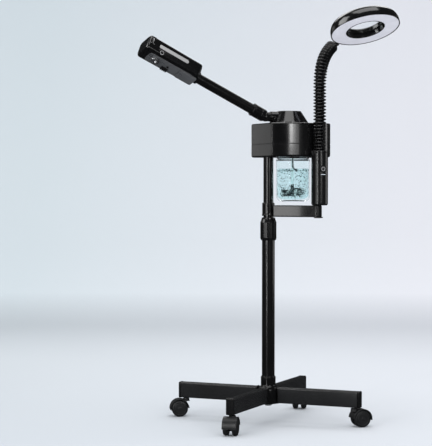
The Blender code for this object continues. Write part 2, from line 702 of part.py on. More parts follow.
def arm_place():
    """Z runs out along the arm, X is its level side that faces -Y, Y is its upper side."""
    out = arm_direction()
    up = Vector((sin(radians(ARM_TILT)), 0, cos(radians(ARM_TILT))))
    side = up.cross(out)
    rotation = Matrix((side, up, out)).transposed().to_4x4()
    return Matrix.Translation(ELBOW) @ rotation


def arm(plastic, paint, trim):
    """The elbow that turns on the outlet, its nut, the tube and the ring at the nozzle."""
    place = arm_place()
    elbow = ball("arm_elbow", ELBOW_RADIUS, plastic, Matrix.Translation(ELBOW) @ turn(-90, "Y"))
    neck = rod("elbow_neck", ELBOW_RADIUS, ELBOW.x, OUTLET_END - GAP, None, shift(0, 0, OUTLET_Z) @ turn(90, "Y"))
    boolean(elbow, neck, "UNION")
    bore = ARM_RADIUS + GAP
    profile = [(0.0150, NUT_END), (0.0165, NUT_END - 0.001), (0.0165, NUT_END - 0.004), (NUT_RADIUS, NUT_END - 0.005),
               (NUT_RADIUS, NUT_START + 0.002), (NUT_RADIUS - 0.001, NUT_START), (bore, NUT_START), (bore, NUT_END)]
    turned("arm_nut", profile, plastic, place, closed=True)
    tube("arm_tube", ARM_RADIUS, ARM_RADIUS - TUBE_WALL, ELBOW_RADIUS + GAP, ARM_COLLAR_END - 0.0008, paint, place)
    profile = [(0.0152, ARM_COLLAR_END), (0.0158, ARM_COLLAR_END - 0.0006), (0.0158, ARM_COLLAR_START + 0.0006),
               (0.0152, ARM_COLLAR_START), (bore, ARM_COLLAR_START), (bore, ARM_COLLAR_END)]
    turned("arm_collar", profile, trim, place, closed=True)


def nozzle_axes():
    """The arm's axes turned and lifted to the nozzle's middle, so that Y is its own upper side."""
    return arm_place() @ turn(NOZZLE_ROLL, "Z") @ shift(0, NOZZLE_LIFT, 0)


def nozzle_section(along):
    """Half width and half height of the nozzle at a place between its rear, 0, and its front, 1."""
    from_end = min(along, 1 - along) * (NOZZLE_END - NOZZLE_START)
    closing = max(0.0, 1 - from_end / NOZZLE_EDGE)
    inset = NOZZLE_EDGE * (1 - sqrt(1 - closing ** 2))
    return (NOZZLE_REAR[0] + NOZZLE_SWELL[0] * along - inset, NOZZLE_REAR[1] + NOZZLE_SWELL[1] * along - inset)


def nozzle_loft(name, inset, finish, stations, sides=20):
    """A lofted body along the arm's axis whose sections are rounded rectangles."""
    mesh = bpy.data.meshes.new(name)
    shape = bmesh.new()
    rings = []
    low, high = NOZZLE_START + inset, NOZZLE_END - inset
    for i in range(stations):
        along = (1 - cos(pi * i / (stations - 1))) / 2
        width, height = nozzle_section(along)
        ring = []
        for j in range(sides):
            angle = 2 * pi * (j + 0.5) / sides
            x = copysign(abs(cos(angle)) ** NOZZLE_SQUARENESS, cos(angle))
            y = copysign(abs(sin(angle)) ** NOZZLE_SQUARENESS, sin(angle))
            ring.append(shape.verts.new(((width - inset) * x, (height - inset) * y, low + (high - low) * along)))
        rings.append(ring)
    for before, after in zip(rings, rings[1:]):
        for j in range(sides):
            k = (j + 1) % sides
            shape.faces.new((before[j], before[k], after[k], after[j]))
    shape.faces.new(rings[0][::-1])
    shape.faces.new(rings[-1])
    shape.to_mesh(mesh)
    shape.free()
    smooth(mesh)
    return add(name, mesh, finish, nozzle_axes())


def nozzle_place(along, up):
    """A matrix on the nozzle's underside: X across, Y along the arm, Z up out of the nozzle's top."""
    laid = Matrix(((-1, 0, 0, 0), (0, 0, 1, 0), (0, 1, 0, 0), (0, 0, 0, 1)))
    return nozzle_axes() @ shift(0, up, along) @ laid


def nozzle_underside():
    return -nozzle_section(0.6)[1]


def nozzle(shell_finish, base_finish, trim):
    shell = nozzle_loft("nozzle_shell", 0, shell_finish, 12)
    boolean(shell, nozzle_loft("nozzle_inside", SHELL_WALL, None, 8), "DIFFERENCE")
    length = NOZZLE_BASE_HIGH - NOZZLE_BASE_LOW
    middle = (NOZZLE_BASE_LOW + NOZZLE_BASE_HIGH) / 2
    mouth = nozzle_underside()
    opening = rounded_rectangle(NOZZLE_BASE_WIDTH + 2 * GAP, length + 2 * GAP, 0.008, 5)
    boolean(shell, plate("nozzle_opening", [opening], 0.012, None, nozzle_place(middle, mouth)), "DIFFERENCE")
    outline = rounded_rectangle(NOZZLE_BASE_WIDTH, length, 0.008, 5)
    spout = arc((0, SPOUT_AT - middle), SPOUT_RADIUS + 0.0006, 360, 18, 20)
    plate("nozzle_base", [outline, spout], 0.0026, base_finish, nozzle_place(middle, mouth + 0.0013))
    inner = SPOUT_RADIUS - 0.003
    profile = [(SPOUT_RADIUS, 0.0055), (SPOUT_RADIUS, -0.0045), (SPOUT_RADIUS - 0.001, -0.0055), (inner, -0.0055),
               (inner, 0.0055)]
    turned("spout_ring", profile, trim, nozzle_place(SPOUT_AT, mouth), steps=20, closed=True)


# ---------------------------------------------------------------- gooseneck and lamp

def neck_curve():
    """The gooseneck's centre line: straight up from the post, then over to the lamp's pivot."""
    start = Vector((POST.x, POST.y, NECK_STRAIGHT_TOP))
    rise = start + Vector((0, 0, 0.062))
    end = LAMP_PIVOT
    arrive = end - Vector((0.80, 0.43, 0.42)).normalized() * 0.045
    line = []
    for i in range(NECK_POINTS):
        t = i / (NECK_POINTS - 1)
        late, early = 3 * (1 - t) * t ** 2, 3 * (1 - t) ** 2 * t
        line.append((1 - t) ** 3 * start + early * rise + late * arrive + t ** 3 * end)
    return line


def gooseneck_lower(rubber):
    pivot = POST_CAP_TOP + NECK_RADIUS + GAP
    top = NECK_SPLIT - NECK_RADIUS - 0.001
    profile = [(0, top - pivot), (NECK_RADIUS, top - pivot)] + arc((0, 0), NECK_RADIUS, 0, -85, 6)
    turned("gooseneck_lower", profile + [(0, -NECK_RADIUS)], rubber, shift(POST.x, POST.y, pivot))


def gooseneck_upper(rubber):
    """The bending length: a round foot on the middle pivot, the swept neck and a ball for the lamp."""
    line = neck_curve()
    first = Vector((POST.x, POST.y, NECK_SPLIT))
    back_off = (line[-1] - line[-2]).normalized() * 0.009
    path = [first] + line[:-1] + [line[-1] - back_off]
    neck = wire("gooseneck_upper", [p - first for p in path], NECK_RADIUS, rubber, Matrix.Translation(first), 3)
    boolean(neck, ball("neck_foot", NECK_RADIUS, None, Matrix.Translation(first)), "UNION")
    boolean(neck, ball("neck_tip", 0.0085, None, Matrix.Translation(LAMP_PIVOT)), "UNION")
    stalk = aimed(LAMP_PIVOT - back_off * 1.4, line[-1] - line[-2])
    boolean(neck, rod("neck_stalk", 0.006, 0, 0.0115, None, stalk), "UNION")


def lamp_place():
    return aimed(LAMP_CENTRE, -LAMP_FACE)


def lamp_housing(plastic):
    """The ring's back shell, open towards its face, with the lug that meets the neck's ball."""
    rim, hole, wall, low = LAMP_RADIUS, LAMP_HOLE, LAMP_WALL, -0.003
    profile = [((rim + hole) / 2, LAMP_DEPTH), (rim - 0.0100, LAMP_DEPTH - 0.003), (rim - 0.003, LAMP_DEPTH - 0.011),
               (rim, LAMP_DEPTH - 0.020), (rim, low), (rim - wall, low), (rim - wall, LAMP_DEPTH - 0.021),
               (rim - 0.0105, LAMP_DEPTH - 0.006), (hole + 0.0105, LAMP_DEPTH - 0.006),
               (hole + wall, LAMP_DEPTH - 0.011), (hole + wall, low), (hole, low), (hole, LAMP_DEPTH - 0.009),
               (hole + 0.002, LAMP_DEPTH - 0.005), (hole + 0.0100, LAMP_DEPTH - 0.001)]
    housing = turned("lamp_housing", profile, plastic, lamp_place(), steps=LAMP_SIDES, closed=True)
    inward = LAMP_CENTRE - LAMP_FACE * 0.005 - LAMP_PIVOT
    reach = inward.length - LAMP_RADIUS + 0.0018
    lug = block("lamp_lug", (-0.006, -0.004, 0.0095), (0.006, 0.004, reach), plastic, aimed(LAMP_PIVOT, inward),
                bevel=0.001, segments=1)
    boolean(housing, lug, "UNION")


def lamp_diffuser(opal):
    tube("lamp_diffuser", LAMP_RADIUS - 0.0029, LAMP_HOLE + 0.0029, -0.0024, 0.0004, opal, lamp_place(), LAMP_SIDES)


def led_board(board):
    tube("led_board", 0.0790, 0.0530, 0.0035, 0.0051, board, lamp_place())


def lamp_lens(glass):
    radius, thick, centre = LAMP_HOLE - 0.0006, 0.0035, 0.012
    crown = [(radius * i / 3, centre + thick - (thick - 0.0012) * (i / 3) ** 2) for i in range(4)]
    under = [(x, 2 * centre - z) for x, z in reversed(crown)]
    turned("lamp_lens", crown + under, glass, lamp_place(), steps=WIDE_ROUND)


def smooth_everything():
    for obj in PARTS.objects:
        if obj.type == "MESH" and obj.data.polygons:
            smooth(obj.data)


def centre_on_box():
    """Moves the model so that the origin is the middle of its box, at floor level."""
    bpy.context.view_layer.update()
    graph = bpy.context.evaluated_depsgraph_get()
    points = []
    for obj in PARTS.objects:
        if obj.type == "MESH":
            shape = obj.evaluated_get(graph)
            points += [shape.matrix_world @ vert.co for vert in shape.data.vertices]
    middle = [(min(p[axis] for p in points) + max(p[axis] for p in points)) / 2 for axis in (0, 1)]
    for obj in list(PARTS.objects) + list(CUTTERS.objects):
        if obj.parent is None:
            obj.matrix_world = shift(-middle[0], -middle[1], 0) @ obj.matrix_world


def build():
    gloss = material("gloss_black", (0.012, 0.012, 0.014), 0.12)
    satin = material("satin_black", (0.02, 0.02, 0.022), 0.42)
    paint = material("black_powder_coat", (0.018, 0.018, 0.02), 0.35)
    wheel = material("wheel_plastic", (0.022, 0.022, 0.024), 0.5)
    rubber = material("neck_rubber", (0.02, 0.02, 0.021), 0.6)
    grey = material("grey_plastic", (0.30, 0.31, 0.33), 0.3)
    steel = material("stainless_steel", (0.55, 0.56, 0.58), 0.3, 1.0)
    zinc = material("zinc_steel", (0.6, 0.61, 0.62), 0.35, 1.0)
    nylon = material("nylon", (0.75, 0.75, 0.72), 0.55)
    glass = material("clear_glass", (0.86, 0.95, 0.97), 0.03, alpha=0.35)
    opal = material("opal_diffuser", (0.92, 0.93, 0.97), 0.45)
    board = material("circuit_board", (0.03, 0.18, 0.08), 0.45)

    base_hub(paint)
    hub_bolt(zinc)
    legs(paint, satin)
    casters(wheel, zinc)
    lower_tube(paint)
    glide_bush(nylon)
    lock_collar(satin)
    tube_foot(nylon)
    upper_tube(paint)

    bracket_sleeve(paint)
    bottom_bracket(paint)
    lamp_post(satin)
    lamp_post_cap(satin)
    power_button(grey)

    housing_lower(gloss)
    housing_upper(gloss)
    top_dome(gloss)
    mains_inlet(satin)
    control_board(board)
    ozone_lamp(glass)

    jar(glass)
    jar_ring(satin)
    heater_flange(steel)
    heater_coil(steel)
    level_probe(steel)

    arm(gloss, paint, satin)
    nozzle(gloss, grey, satin)

    gooseneck_lower(rubber)
    gooseneck_upper(rubber)
    lamp_housing(gloss)
    lamp_diffuser(opal)
    led_board(board)
    lamp_lens(glass)
    smooth_everything()
    centre_on_box()


clear_scene()
PARTS = collection("facial_steamer")
CUTTERS = collection("cutters")
build()
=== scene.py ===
"""Facial steamer: fine shells, materials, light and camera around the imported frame. Metres, +Z up."""

import json
import random
from math import atan2, copysign, cos, degrees, pi, radians, sin, sqrt

import bmesh
import bpy
import numpy as np
from mathutils import Matrix, Vector


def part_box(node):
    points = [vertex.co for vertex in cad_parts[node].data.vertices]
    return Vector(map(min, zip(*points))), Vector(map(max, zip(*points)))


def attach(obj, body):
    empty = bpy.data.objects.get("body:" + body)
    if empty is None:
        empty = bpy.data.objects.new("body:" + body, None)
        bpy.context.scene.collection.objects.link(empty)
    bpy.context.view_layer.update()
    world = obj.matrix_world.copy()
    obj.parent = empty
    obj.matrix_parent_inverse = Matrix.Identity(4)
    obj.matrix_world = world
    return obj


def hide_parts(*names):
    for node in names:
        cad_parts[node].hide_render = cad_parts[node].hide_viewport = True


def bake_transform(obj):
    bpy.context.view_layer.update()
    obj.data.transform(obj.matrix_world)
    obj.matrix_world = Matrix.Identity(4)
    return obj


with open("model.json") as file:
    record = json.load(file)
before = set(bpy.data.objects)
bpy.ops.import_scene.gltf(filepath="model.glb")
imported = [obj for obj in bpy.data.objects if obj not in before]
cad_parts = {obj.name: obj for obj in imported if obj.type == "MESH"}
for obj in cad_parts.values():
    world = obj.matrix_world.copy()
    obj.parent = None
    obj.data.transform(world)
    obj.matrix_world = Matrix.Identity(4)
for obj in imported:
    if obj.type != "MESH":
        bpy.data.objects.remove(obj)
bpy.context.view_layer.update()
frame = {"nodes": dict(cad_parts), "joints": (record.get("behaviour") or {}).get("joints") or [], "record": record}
JOINTS = {joint["name"]: joint for joint in frame["joints"]}
SIDES = ("right", "front", "left", "back")
FINE = 96             # sides of a fine turned piece


# ---------------------------------------------------------------- reading the frame

def joint_place(name):
    return Vector(JOINTS[name]["pos_m"])


def joint_axis(name):
    return Vector(JOINTS[name]["axis"]).normalized()


def axes_matrix(origin, x_axis, y_axis, z_axis):
    rotation = Matrix((x_axis, y_axis, z_axis)).transposed().to_4x4()
    return Matrix.Translation(origin) @ rotation


def shift(x, y, z):
    return Matrix.Translation((x, y, z))


def turn(degree, axis):
    return Matrix.Rotation(radians(degree), 4, axis)


def aimed(place, direction):
    return Matrix.Translation(place) @ direction.to_track_quat("Z", "Y").to_matrix().to_4x4()


def local_span(node, matrix, axis):
    """Lowest and highest place of a CAD node along one axis of the given frame."""
    inverse = matrix.inverted()
    values = [(inverse @ vert.co)[axis] for vert in frame["nodes"][node].data.vertices]
    return min(values), max(values)


def middle_of(node):
    """The plan middle of a node's box, and the box's half width."""
    low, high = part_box(node)
    return Vector(((low.x + high.x) / 2, (low.y + high.y) / 2, 0)), (high.x - low.x) / 2


def local_radius(node, matrix):
    """How far a CAD node reaches from the Z axis of the given frame."""
    inverse = matrix.inverted()
    return max((inverse @ vert.co).xy.length for vert in frame["nodes"][node].data.vertices)


def arm_frame():
    """Z runs out along the steam arm, Y is its upper side."""
    out = joint_axis("nozzle_turn")
    side = Vector((0, 0, 1)).cross(out).normalized()
    return axes_matrix(joint_place("arm_swing"), side, out.cross(side), out)


def nozzle_frame():
    """As the arm's frame, but through the nozzle's middle and with Y along its own upper side."""
    out, up = joint_axis("nozzle_turn"), joint_axis("spout_ring_turn")
    frame_at = axes_matrix(joint_place("arm_swing"), up.cross(out), up, out)
    return frame_at @ shift(0, sum(local_span("nozzle_shell", frame_at, 1)) / 2, 0)


def lamp_frame():
    """Z is the ring lamp's axis, pointing out of its back; the origin is on the diffuser's middle."""
    points = np.array([vert.co for vert in frame["nodes"]["lamp_diffuser"].data.vertices])
    low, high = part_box("lamp_diffuser")
    centre = np.array((low + high) / 2)
    normal = Vector(np.linalg.svd(points - points.mean(axis=0), full_matrices=False)[2][2])
    return aimed(Vector(centre), normal if normal.z > 0 else -normal)


COLUMN = Vector((*joint_place("head_swivel").xy, 0))
ARM = arm_frame()
NOZZLE = nozzle_frame()
LAMP = lamp_frame()


# ---------------------------------------------------------------- mesh builders

def arc(centre, radius, start, end, points):
    angles = [radians(start + (end - start) * i / (points - 1)) for i in range(points)]
    return [(centre[0] + radius * cos(t), centre[1] + radius * sin(t)) for t in angles]


def rounded_rectangle(width, height, radius, points=8):
    across, up = width / 2 - radius, height / 2 - radius
    return (arc((across, up), radius, 0, 90, points) + arc((-across, up), radius, 90, 180, points)
            + arc((-across, -up), radius, 180, 270, points) + arc((across, -up), radius, 270, 360, points))


def softened(profile, radius, closed=False, points=4):
    """The profile with small curves for corners, and a point beside each that keeps the flats flat."""
    count = len(profile)
    out = []
    for i, point in enumerate(profile):
        here = Vector(point)
        ends = not closed and i in (0, count - 1)
        before, after = Vector(profile[i - 1]) - here, Vector(profile[(i + 1) % count]) - here
        if ends or before.length < 1e-7 or after.length < 1e-7:
            out.append(tuple(here))
            continue
        reach = min(radius, before.length * 0.45, after.length * 0.45)
        first, last = here + before.normalized() * reach, here + after.normalized() * reach
        if before.length > 5 * reach:
            out.append(tuple(here + before.normalized() * reach * 1.5))
        for k in range(points + 1):
            t = k / points
            out.append(tuple((1 - t) ** 2 * first + 2 * t * (1 - t) * here + t * t * last))
        if after.length > 5 * reach:
            out.append(tuple(here + after.normalized() * reach * 1.5))
    return out


def finish_mesh(name, shape, matrix, sharp=32):
    bmesh.ops.recalc_face_normals(shape, faces=shape.faces[:])
    mesh = bpy.data.meshes.new(name)
    shape.to_mesh(mesh)
    shape.free()
    mesh.shade_smooth()
    mesh.set_sharp_from_angle(angle=radians(sharp))
    obj = bpy.data.objects.new(name, mesh)
    bpy.context.scene.collection.objects.link(obj)
    obj.matrix_world = matrix or Matrix.Identity(4)
    return obj


def lathe(name, profile, matrix=None, closed=False, soft=0.0004, sides=FINE, wobble=None):
    """A turned piece about Z. wobble(angle, height) scales the radius, for flutes and grips."""
    if soft:
        profile = softened(profile, soft, closed)
    shape = bmesh.new()
    rings = []
    for radius, height in profile:
        if radius < 1e-6:
            rings.append([shape.verts.new((0, 0, height))])
            continue
        ring = []
        for j in range(sides):
            angle = 2 * pi * j / sides
            reach = radius * (wobble(angle, height) if wobble else 1)
            ring.append(shape.verts.new((reach * cos(angle), reach * sin(angle), height)))
        rings.append(ring)
    pairs = list(zip(rings, rings[1:])) + ([(rings[-1], rings[0])] if closed else [])
    for first, second in pairs:
        for j in range(sides):
            k = (j + 1) % sides
            corners = (first[j % len(first)], first[k % len(first)],
                       second[k % len(second)], second[j % len(second)])
            unique = list(dict.fromkeys(corners))
            if len(unique) > 2:
                shape.faces.new(unique)
    return finish_mesh(name, shape, matrix)


def loft(name, rings, matrix=None):
    """A capped skin through closed rings of equal length."""
    shape = bmesh.new()
    made = [[shape.verts.new(point) for point in ring] for ring in rings]
    for first, second in zip(made, made[1:]):
        for j in range(len(first)):
            k = (j + 1) % len(first)
            shape.faces.new((first[j], first[k], second[k], second[j]))
    shape.faces.new(made[0][::-1])
    shape.faces.new(made[-1])
    return finish_mesh(name, shape, matrix)


def pulled(name, outline, levels, matrix=None):
    """An outline pulled up through levels, each an inset of the outline and a height."""
    points = [Vector((x, y)) for x, y in outline]
    count = len(points)
    inwards = []
    for i in range(count):
        along = points[(i + 1) % count] - points[i - 1]
        inwards.append(Vector((-along.y, along.x)).normalized())
    if sum(points[i - 1].cross(points[i]) for i in range(count)) < 0:
        inwards = [-inward for inward in inwards]
    rings = [[(*(point + inward * inset), height) for point, inward in zip(points, inwards)]
             for inset, height in levels]
    return loft(name, rings, matrix)


def rounding(edge, steps):
    """The insets and rises of a quarter round, from its rim to its flat side."""
    angles = [pi / 2 * k / steps for k in range(steps + 1)]
    return [(edge * (1 - sin(angle)), edge * (1 - cos(angle))) for angle in angles]


def prism(name, outline, low, high, matrix=None, edge=0.0, steps=4):
    """An outline pulled from low to high along Z, with both rims rounded alike."""
    if not edge:
        return pulled(name, outline, [(0, low), (0, high)], matrix)
    levels = [(inset, low + rise) for inset, rise in rounding(edge, steps)]
    if high - low > 3 * edge:
        levels.append((0, low + edge * 1.4))
    levels += [(inset, high - (height - low)) for inset, height in reversed(levels)]
    return pulled(name, outline, levels, matrix)


def rounded_shell(name, outline, low, high, low_edge, high_edge, steps=6):
    """An outline pulled up, each rim rounded by its own radius."""
    support = 0.0008
    levels = [(inset, low + rise) for inset, rise in rounding(low_edge, steps)]
    levels += [(0, low + low_edge + support), (0, high - high_edge - support)]
    levels += [(inset, high - rise) for inset, rise in reversed(rounding(high_edge, steps))]
    return pulled(name, outline, levels)


def block(name, low, high, matrix=None, edge=0.001, steps=3):
    shape = bmesh.new()
    size, middle = Vector(high) - Vector(low), (Vector(high) + Vector(low)) / 2
    bmesh.ops.create_cube(shape, size=1, matrix=Matrix.Translation(middle) @ Matrix.Diagonal((*size, 1)))
    bmesh.ops.bevel(shape, geom=shape.edges[:], offset=edge, segments=steps, affect="EDGES", profile=0.5)
    return finish_mesh(name, shape, matrix, 40)


def sweep(name, path, radii, sides=40, matrix=None):
    """A round tube through the points, with its own radius at each."""
    shape = bmesh.new()
    side = None
    rings = []
    for i, (point, radius) in enumerate(zip(path, radii)):
        along = (path[min(i + 1, len(path) - 1)] - path[max(i - 1, 0)]).normalized()
        if side is None:
            side = along.orthogonal().normalized()
        side = (side - along * side.dot(along)).normalized()
        other = along.cross(side)
        turns = [2 * pi * j / sides for j in range(sides)]
        rings.append([shape.verts.new(point + radius * (cos(t) * side + sin(t) * other)) for t in turns])
    for first, second in zip(rings, rings[1:]):
        for j in range(sides):
            k = (j + 1) % sides
            shape.faces.new((first[j], first[k], second[k], second[j]))
    shape.faces.new(rings[0][::-1])
    shape.faces.new(rings[-1])
    return finish_mesh(name, shape, matrix)


def cut(obj, tool):
    """Takes the tool's shape out of the object for good."""
    modifier = obj.modifiers.new("cut", "BOOLEAN")
    modifier.operation = "DIFFERENCE"
    modifier.solver = "EXACT"
    modifier.object = tool
    bpy.context.view_layer.update()
    graph = bpy.context.evaluated_depsgraph_get()
    mesh = bpy.data.meshes.new_from_object(obj.evaluated_get(graph))
    obj.modifiers.clear()
    obj.data = mesh
    mesh.shade_smooth()
    mesh.set_sharp_from_angle(angle=radians(32))
    bpy.data.objects.remove(tool, do_unlink=True)
    return obj


def place(obj, body, finish, *nodes):
    """Gives the piece its material and its body, and hides the CAD nodes that it stands for."""
    obj.data.materials.clear()
    obj.data.materials.append(MATERIALS[finish])
    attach(obj, body)
    if nodes:
        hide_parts(*nodes)
    return obj


def turned(name, profile, matrix, body, finish, *nodes, **shape):
    """A turned piece that is placed at once."""
    return place(lathe(name, profile, matrix, **shape), body, finish, *nodes)


# ---------------------------------------------------------------- materials

class Nodes:
    """A short way to write a material's node tree."""

    def __init__(self, name):
        self.material = bpy.data.materials.new(name)
        self.material.use_nodes = True
        self.tree = self.material.node_tree
        self.shader = self.tree.nodes["Principled BSDF"]
        self.where = self.add("ShaderNodeTexCoord").outputs["Object"]

    def add(self, kind, **settings):
        node = self.tree.nodes.new(kind)
        for key, value in settings.items():
            setattr(node, key, value)
        return node

    def link(self, output, target):
        self.tree.links.new(output, target)
        return target

    def one_sided(self):
        """Seen from behind, the surface isn't there."""
        mix = self.add("ShaderNodeMixShader")
        self.link(self.add("ShaderNodeNewGeometry").outputs["Backfacing"], mix.inputs[0])
        self.link(self.shader.outputs[0], mix.inputs[1])
        self.link(self.add("ShaderNodeBsdfTransparent").outputs[0], mix.inputs[2])
        self.link(mix.outputs[0], self.tree.nodes["Material Output"].inputs["Surface"])

    def noise(self, scale, detail=3.0, rough=0.5, stretch=None):
        node = self.add("ShaderNodeTexNoise")
        node.inputs["Scale"].default_value = scale
        node.inputs["Detail"].default_value = detail
        node.inputs["Roughness"].default_value = rough
        where = self.where
        if stretch:
            mapping = self.add("ShaderNodeMapping")
            mapping.inputs["Scale"].default_value = stretch
            self.link(where, mapping.inputs["Vector"])
            where = mapping.outputs["Vector"]
        self.link(where, node.inputs["Vector"])
        return node.outputs["Fac"]

    def ranged(self, value, low, high, start=0.3, stop=0.7):
        node = self.add("ShaderNodeMapRange")
        self.link(value, node.inputs["Value"])
        for key, number in (("From Min", start), ("From Max", stop), ("To Min", low), ("To Max", high)):
            node.inputs[key].default_value = number
        return node.outputs["Result"]

    def mixed(self, factor, first, second):
        node = self.add("ShaderNodeMix", data_type="RGBA")
        self.link(factor, node.inputs["Factor"])
        for socket, colour in (("A", first), ("B", second)):
            target = [item for item in node.inputs if item.name == socket and item.type == "RGBA"][0]
            if isinstance(colour, tuple):
                target.default_value = (*colour, 1)
            else:
                self.link(colour, target)
        return [item for item in node.outputs if item.type == "RGBA"][0]

    def colour(self, value):
        self.link(value, self.shader.inputs["Base Color"])

    def cloudy(self, scale, first, second, detail=3.0):
        """A base colour that drifts between two tones."""
        tone = self.mixed(self.ranged(self.noise(scale, detail), 0.0, 1.0), first, second)
        self.colour(tone)
        return tone

    def roughness(self, value):
        self.link(value, self.shader.inputs["Roughness"])

    def bump(self, height, strength, distance):
        node = self.add("ShaderNodeBump")
        node.inputs["Strength"].default_value = strength
        node.inputs["Distance"].default_value = distance
        self.link(height, node.inputs["Height"])
        self.link(node.outputs["Normal"], self.shader.inputs["Normal"])

    def edges(self):
        """Grows from 0 to 1 over the worn outer edges of a dense mesh."""
        pointiness = self.add("ShaderNodeNewGeometry").outputs["Pointiness"]
        return self.ranged(pointiness, 0.0, 1.0, 0.52, 0.60)

    def set(self, **values):
        for key, value in values.items():
            self.shader.inputs[key.replace("_", " ")].default_value = value


def black_finish(name, colour, lighter, rough, grain, grain_depth, coat=0.0, wear=0.25, smudge=14.0):
    """A dark moulded or painted surface: cloudy tone, smudged gloss, fine grain and paler edges."""
    nodes = Nodes(name)
    cloud = nodes.ranged(nodes.noise(9.0, 4.0), 0.0, 1.0)
    worn = nodes.add("ShaderNodeMath", operation="MULTIPLY")
    nodes.link(nodes.edges(), worn.inputs[0])
    nodes.link(nodes.ranged(nodes.noise(180.0, 4.0), 0.0, wear, 0.42, 0.66), worn.inputs[1])
    base = nodes.mixed(cloud, colour, lighter)
    nodes.colour(nodes.mixed(worn.outputs[0], base, tuple(min(1.0, c * 5 + 0.03) for c in lighter)))
    nodes.roughness(nodes.ranged(nodes.noise(smudge, 5.0, 0.6), rough[0], rough[1]))
    nodes.bump(nodes.noise(grain, 2.0), 0.35, grain_depth)
    nodes.set(IOR=1.5, Coat_Weight=coat, Coat_Roughness=0.06)
    return nodes.material


def brushed_metal(name, colour, rough, metal=1.0, glow=0.0):
    """Steel with fine streaks along Z. The glow is painted light: emission that stands for light that water would
    bring to it.
    """
    nodes = Nodes(name)
    streaks = nodes.noise(30.0, 5.0, 0.6, (1, 1, 60))
    nodes.cloudy(6.0, colour, tuple(c * 0.82 for c in colour))
    nodes.roughness(nodes.ranged(streaks, rough * 0.75, rough * 1.3))
    nodes.bump(streaks, 0.15, 0.0002)
    nodes.set(Metallic=metal, Emission_Color=(*colour, 1), Emission_Strength=glow)
    return nodes.material


def heater_metal():
    """Dark tube element, dull with mineral bloom, with painted glints: emission in noisy spots that stands for
    light from the water round it.
    """
    nodes = Nodes("heater_metal")
    bloom = nodes.ranged(nodes.noise(240.0, 5.0), 0.0, 0.35, 0.5, 0.72)
    nodes.colour(nodes.mixed(bloom, (0.05, 0.06, 0.065), (0.36, 0.40, 0.40)))
    nodes.roughness(nodes.ranged(nodes.noise(90.0), 0.28, 0.5))
    nodes.bump(nodes.noise(420.0), 0.3, 0.0003)
    # painted highlight: noisy emission spots paint glints of light on the element
    painted_glint = nodes.ranged(nodes.noise(130.0, 2.0), 0.0, 0.55, 0.52, 0.60)
    nodes.link(painted_glint, nodes.shader.inputs["Emission Strength"])
    nodes.set(Metallic=0.8, Emission_Color=(0.72, 0.90, 0.92, 1))
    return nodes.material


def clear(name, tones, scale, rough, ior, detail=3.0, transmission=1.0, bump=None):
    """A see-through material: two tones at a noise scale, a roughness range, and a bump if it has one.

    rough is the low and high roughness and the scale and detail of their noise.
    """
    nodes = Nodes(name)
    nodes.cloudy(scale, *tones, detail)
    low, high, rough_scale, rough_detail, start, stop = rough
    nodes.roughness(nodes.ranged(nodes.noise(rough_scale, rough_detail), low, high, start, stop))
    if bump:
        bump_scale, bump_detail, strength, distance = bump
        nodes.bump(nodes.noise(bump_scale, bump_detail), strength, distance)
    nodes.set(Transmission_Weight=transmission, IOR=ior)
    return nodes.material


def opal_diffuser():
    """White acrylic lit from behind, its glow a little brighter in places at random."""
    nodes = Nodes("opal_diffuser")
    glow = nodes.cloudy(16.0, (0.69, 0.68, 0.73), (0.75, 0.74, 0.79), 2.0)
    nodes.link(glow, nodes.shader.inputs["Emission Color"])
    nodes.link(nodes.ranged(nodes.noise(40.0, 1.0), 0.09, 0.14), nodes.shader.inputs["Emission Strength"])
    nodes.roughness(nodes.ranged(nodes.noise(300.0), 0.35, 0.5))
    nodes.bump(nodes.noise(900.0), 0.1, 0.0001)
    return nodes.material


def plain_board():
    nodes = Nodes("circuit_board")
    tracks = nodes.ranged(nodes.noise(120.0), 0.0, 1.0, 0.48, 0.52)
    nodes.colour(nodes.mixed(tracks, (0.02, 0.16, 0.07), (0.03, 0.22, 0.10)))
    nodes.roughness(nodes.ranged(nodes.noise(40.0), 0.35, 0.55))
    return nodes.material


def indicator_light():
    nodes = Nodes("indicator_light")
    nodes.cloudy(200.0, (0.55, 0.60, 0.66), (0.75, 0.8, 0.86))
    nodes.roughness(nodes.ranged(nodes.noise(90.0), 0.15, 0.3))
    nodes.set(Emission_Color=(0.8, 0.9, 1.0, 1.0), Emission_Strength=0.25)
    return nodes.material


def stage_material():
    """Pale matt paper with painted light and shade: bluer on the left, lighter on the right and up the wall, and a
    little darker on the near floor.
    """
    nodes = Nodes("studio_sweep")
    turned = radians(VIEW_TURN)

    def along(direction, start, stop):
        product = nodes.add("ShaderNodeVectorMath", operation="DOT_PRODUCT")
        nodes.link(nodes.where, product.inputs[0])
        product.inputs[1].default_value = direction
        return nodes.ranged(product.outputs["Value"], 0.0, 1.0, start, stop)

    across = along((cos(turned), -sin(turned), 0), -1.1, 0.7)
    depth = along((sin(turned), cos(turned), 0), -0.5, 1.3)
    rise = along((0, 0, 1), 0.0, 0.10)
    # painted light and shade: the near floor is painted darker than the far floor, the right side and the wall
    # lighter
    near = nodes.mixed(across, (0.470, 0.503, 0.533), (0.575, 0.588, 0.618))
    far = nodes.mixed(across, (0.550, 0.580, 0.602), (0.619, 0.628, 0.658))
    wall = nodes.mixed(across, (0.725, 0.780, 0.805), (0.845, 0.840, 0.873))
    cloud = nodes.ranged(nodes.noise(0.8, 2.0), 0.0, 0.06)
    paper = nodes.mixed(rise, nodes.mixed(depth, near, far), wall)
    nodes.colour(nodes.mixed(cloud, paper, (0.75, 0.78, 0.82)))
    nodes.set(Roughness=1.0, Specular_IOR_Level=0.0)
    nodes.one_sided()
    return nodes.material


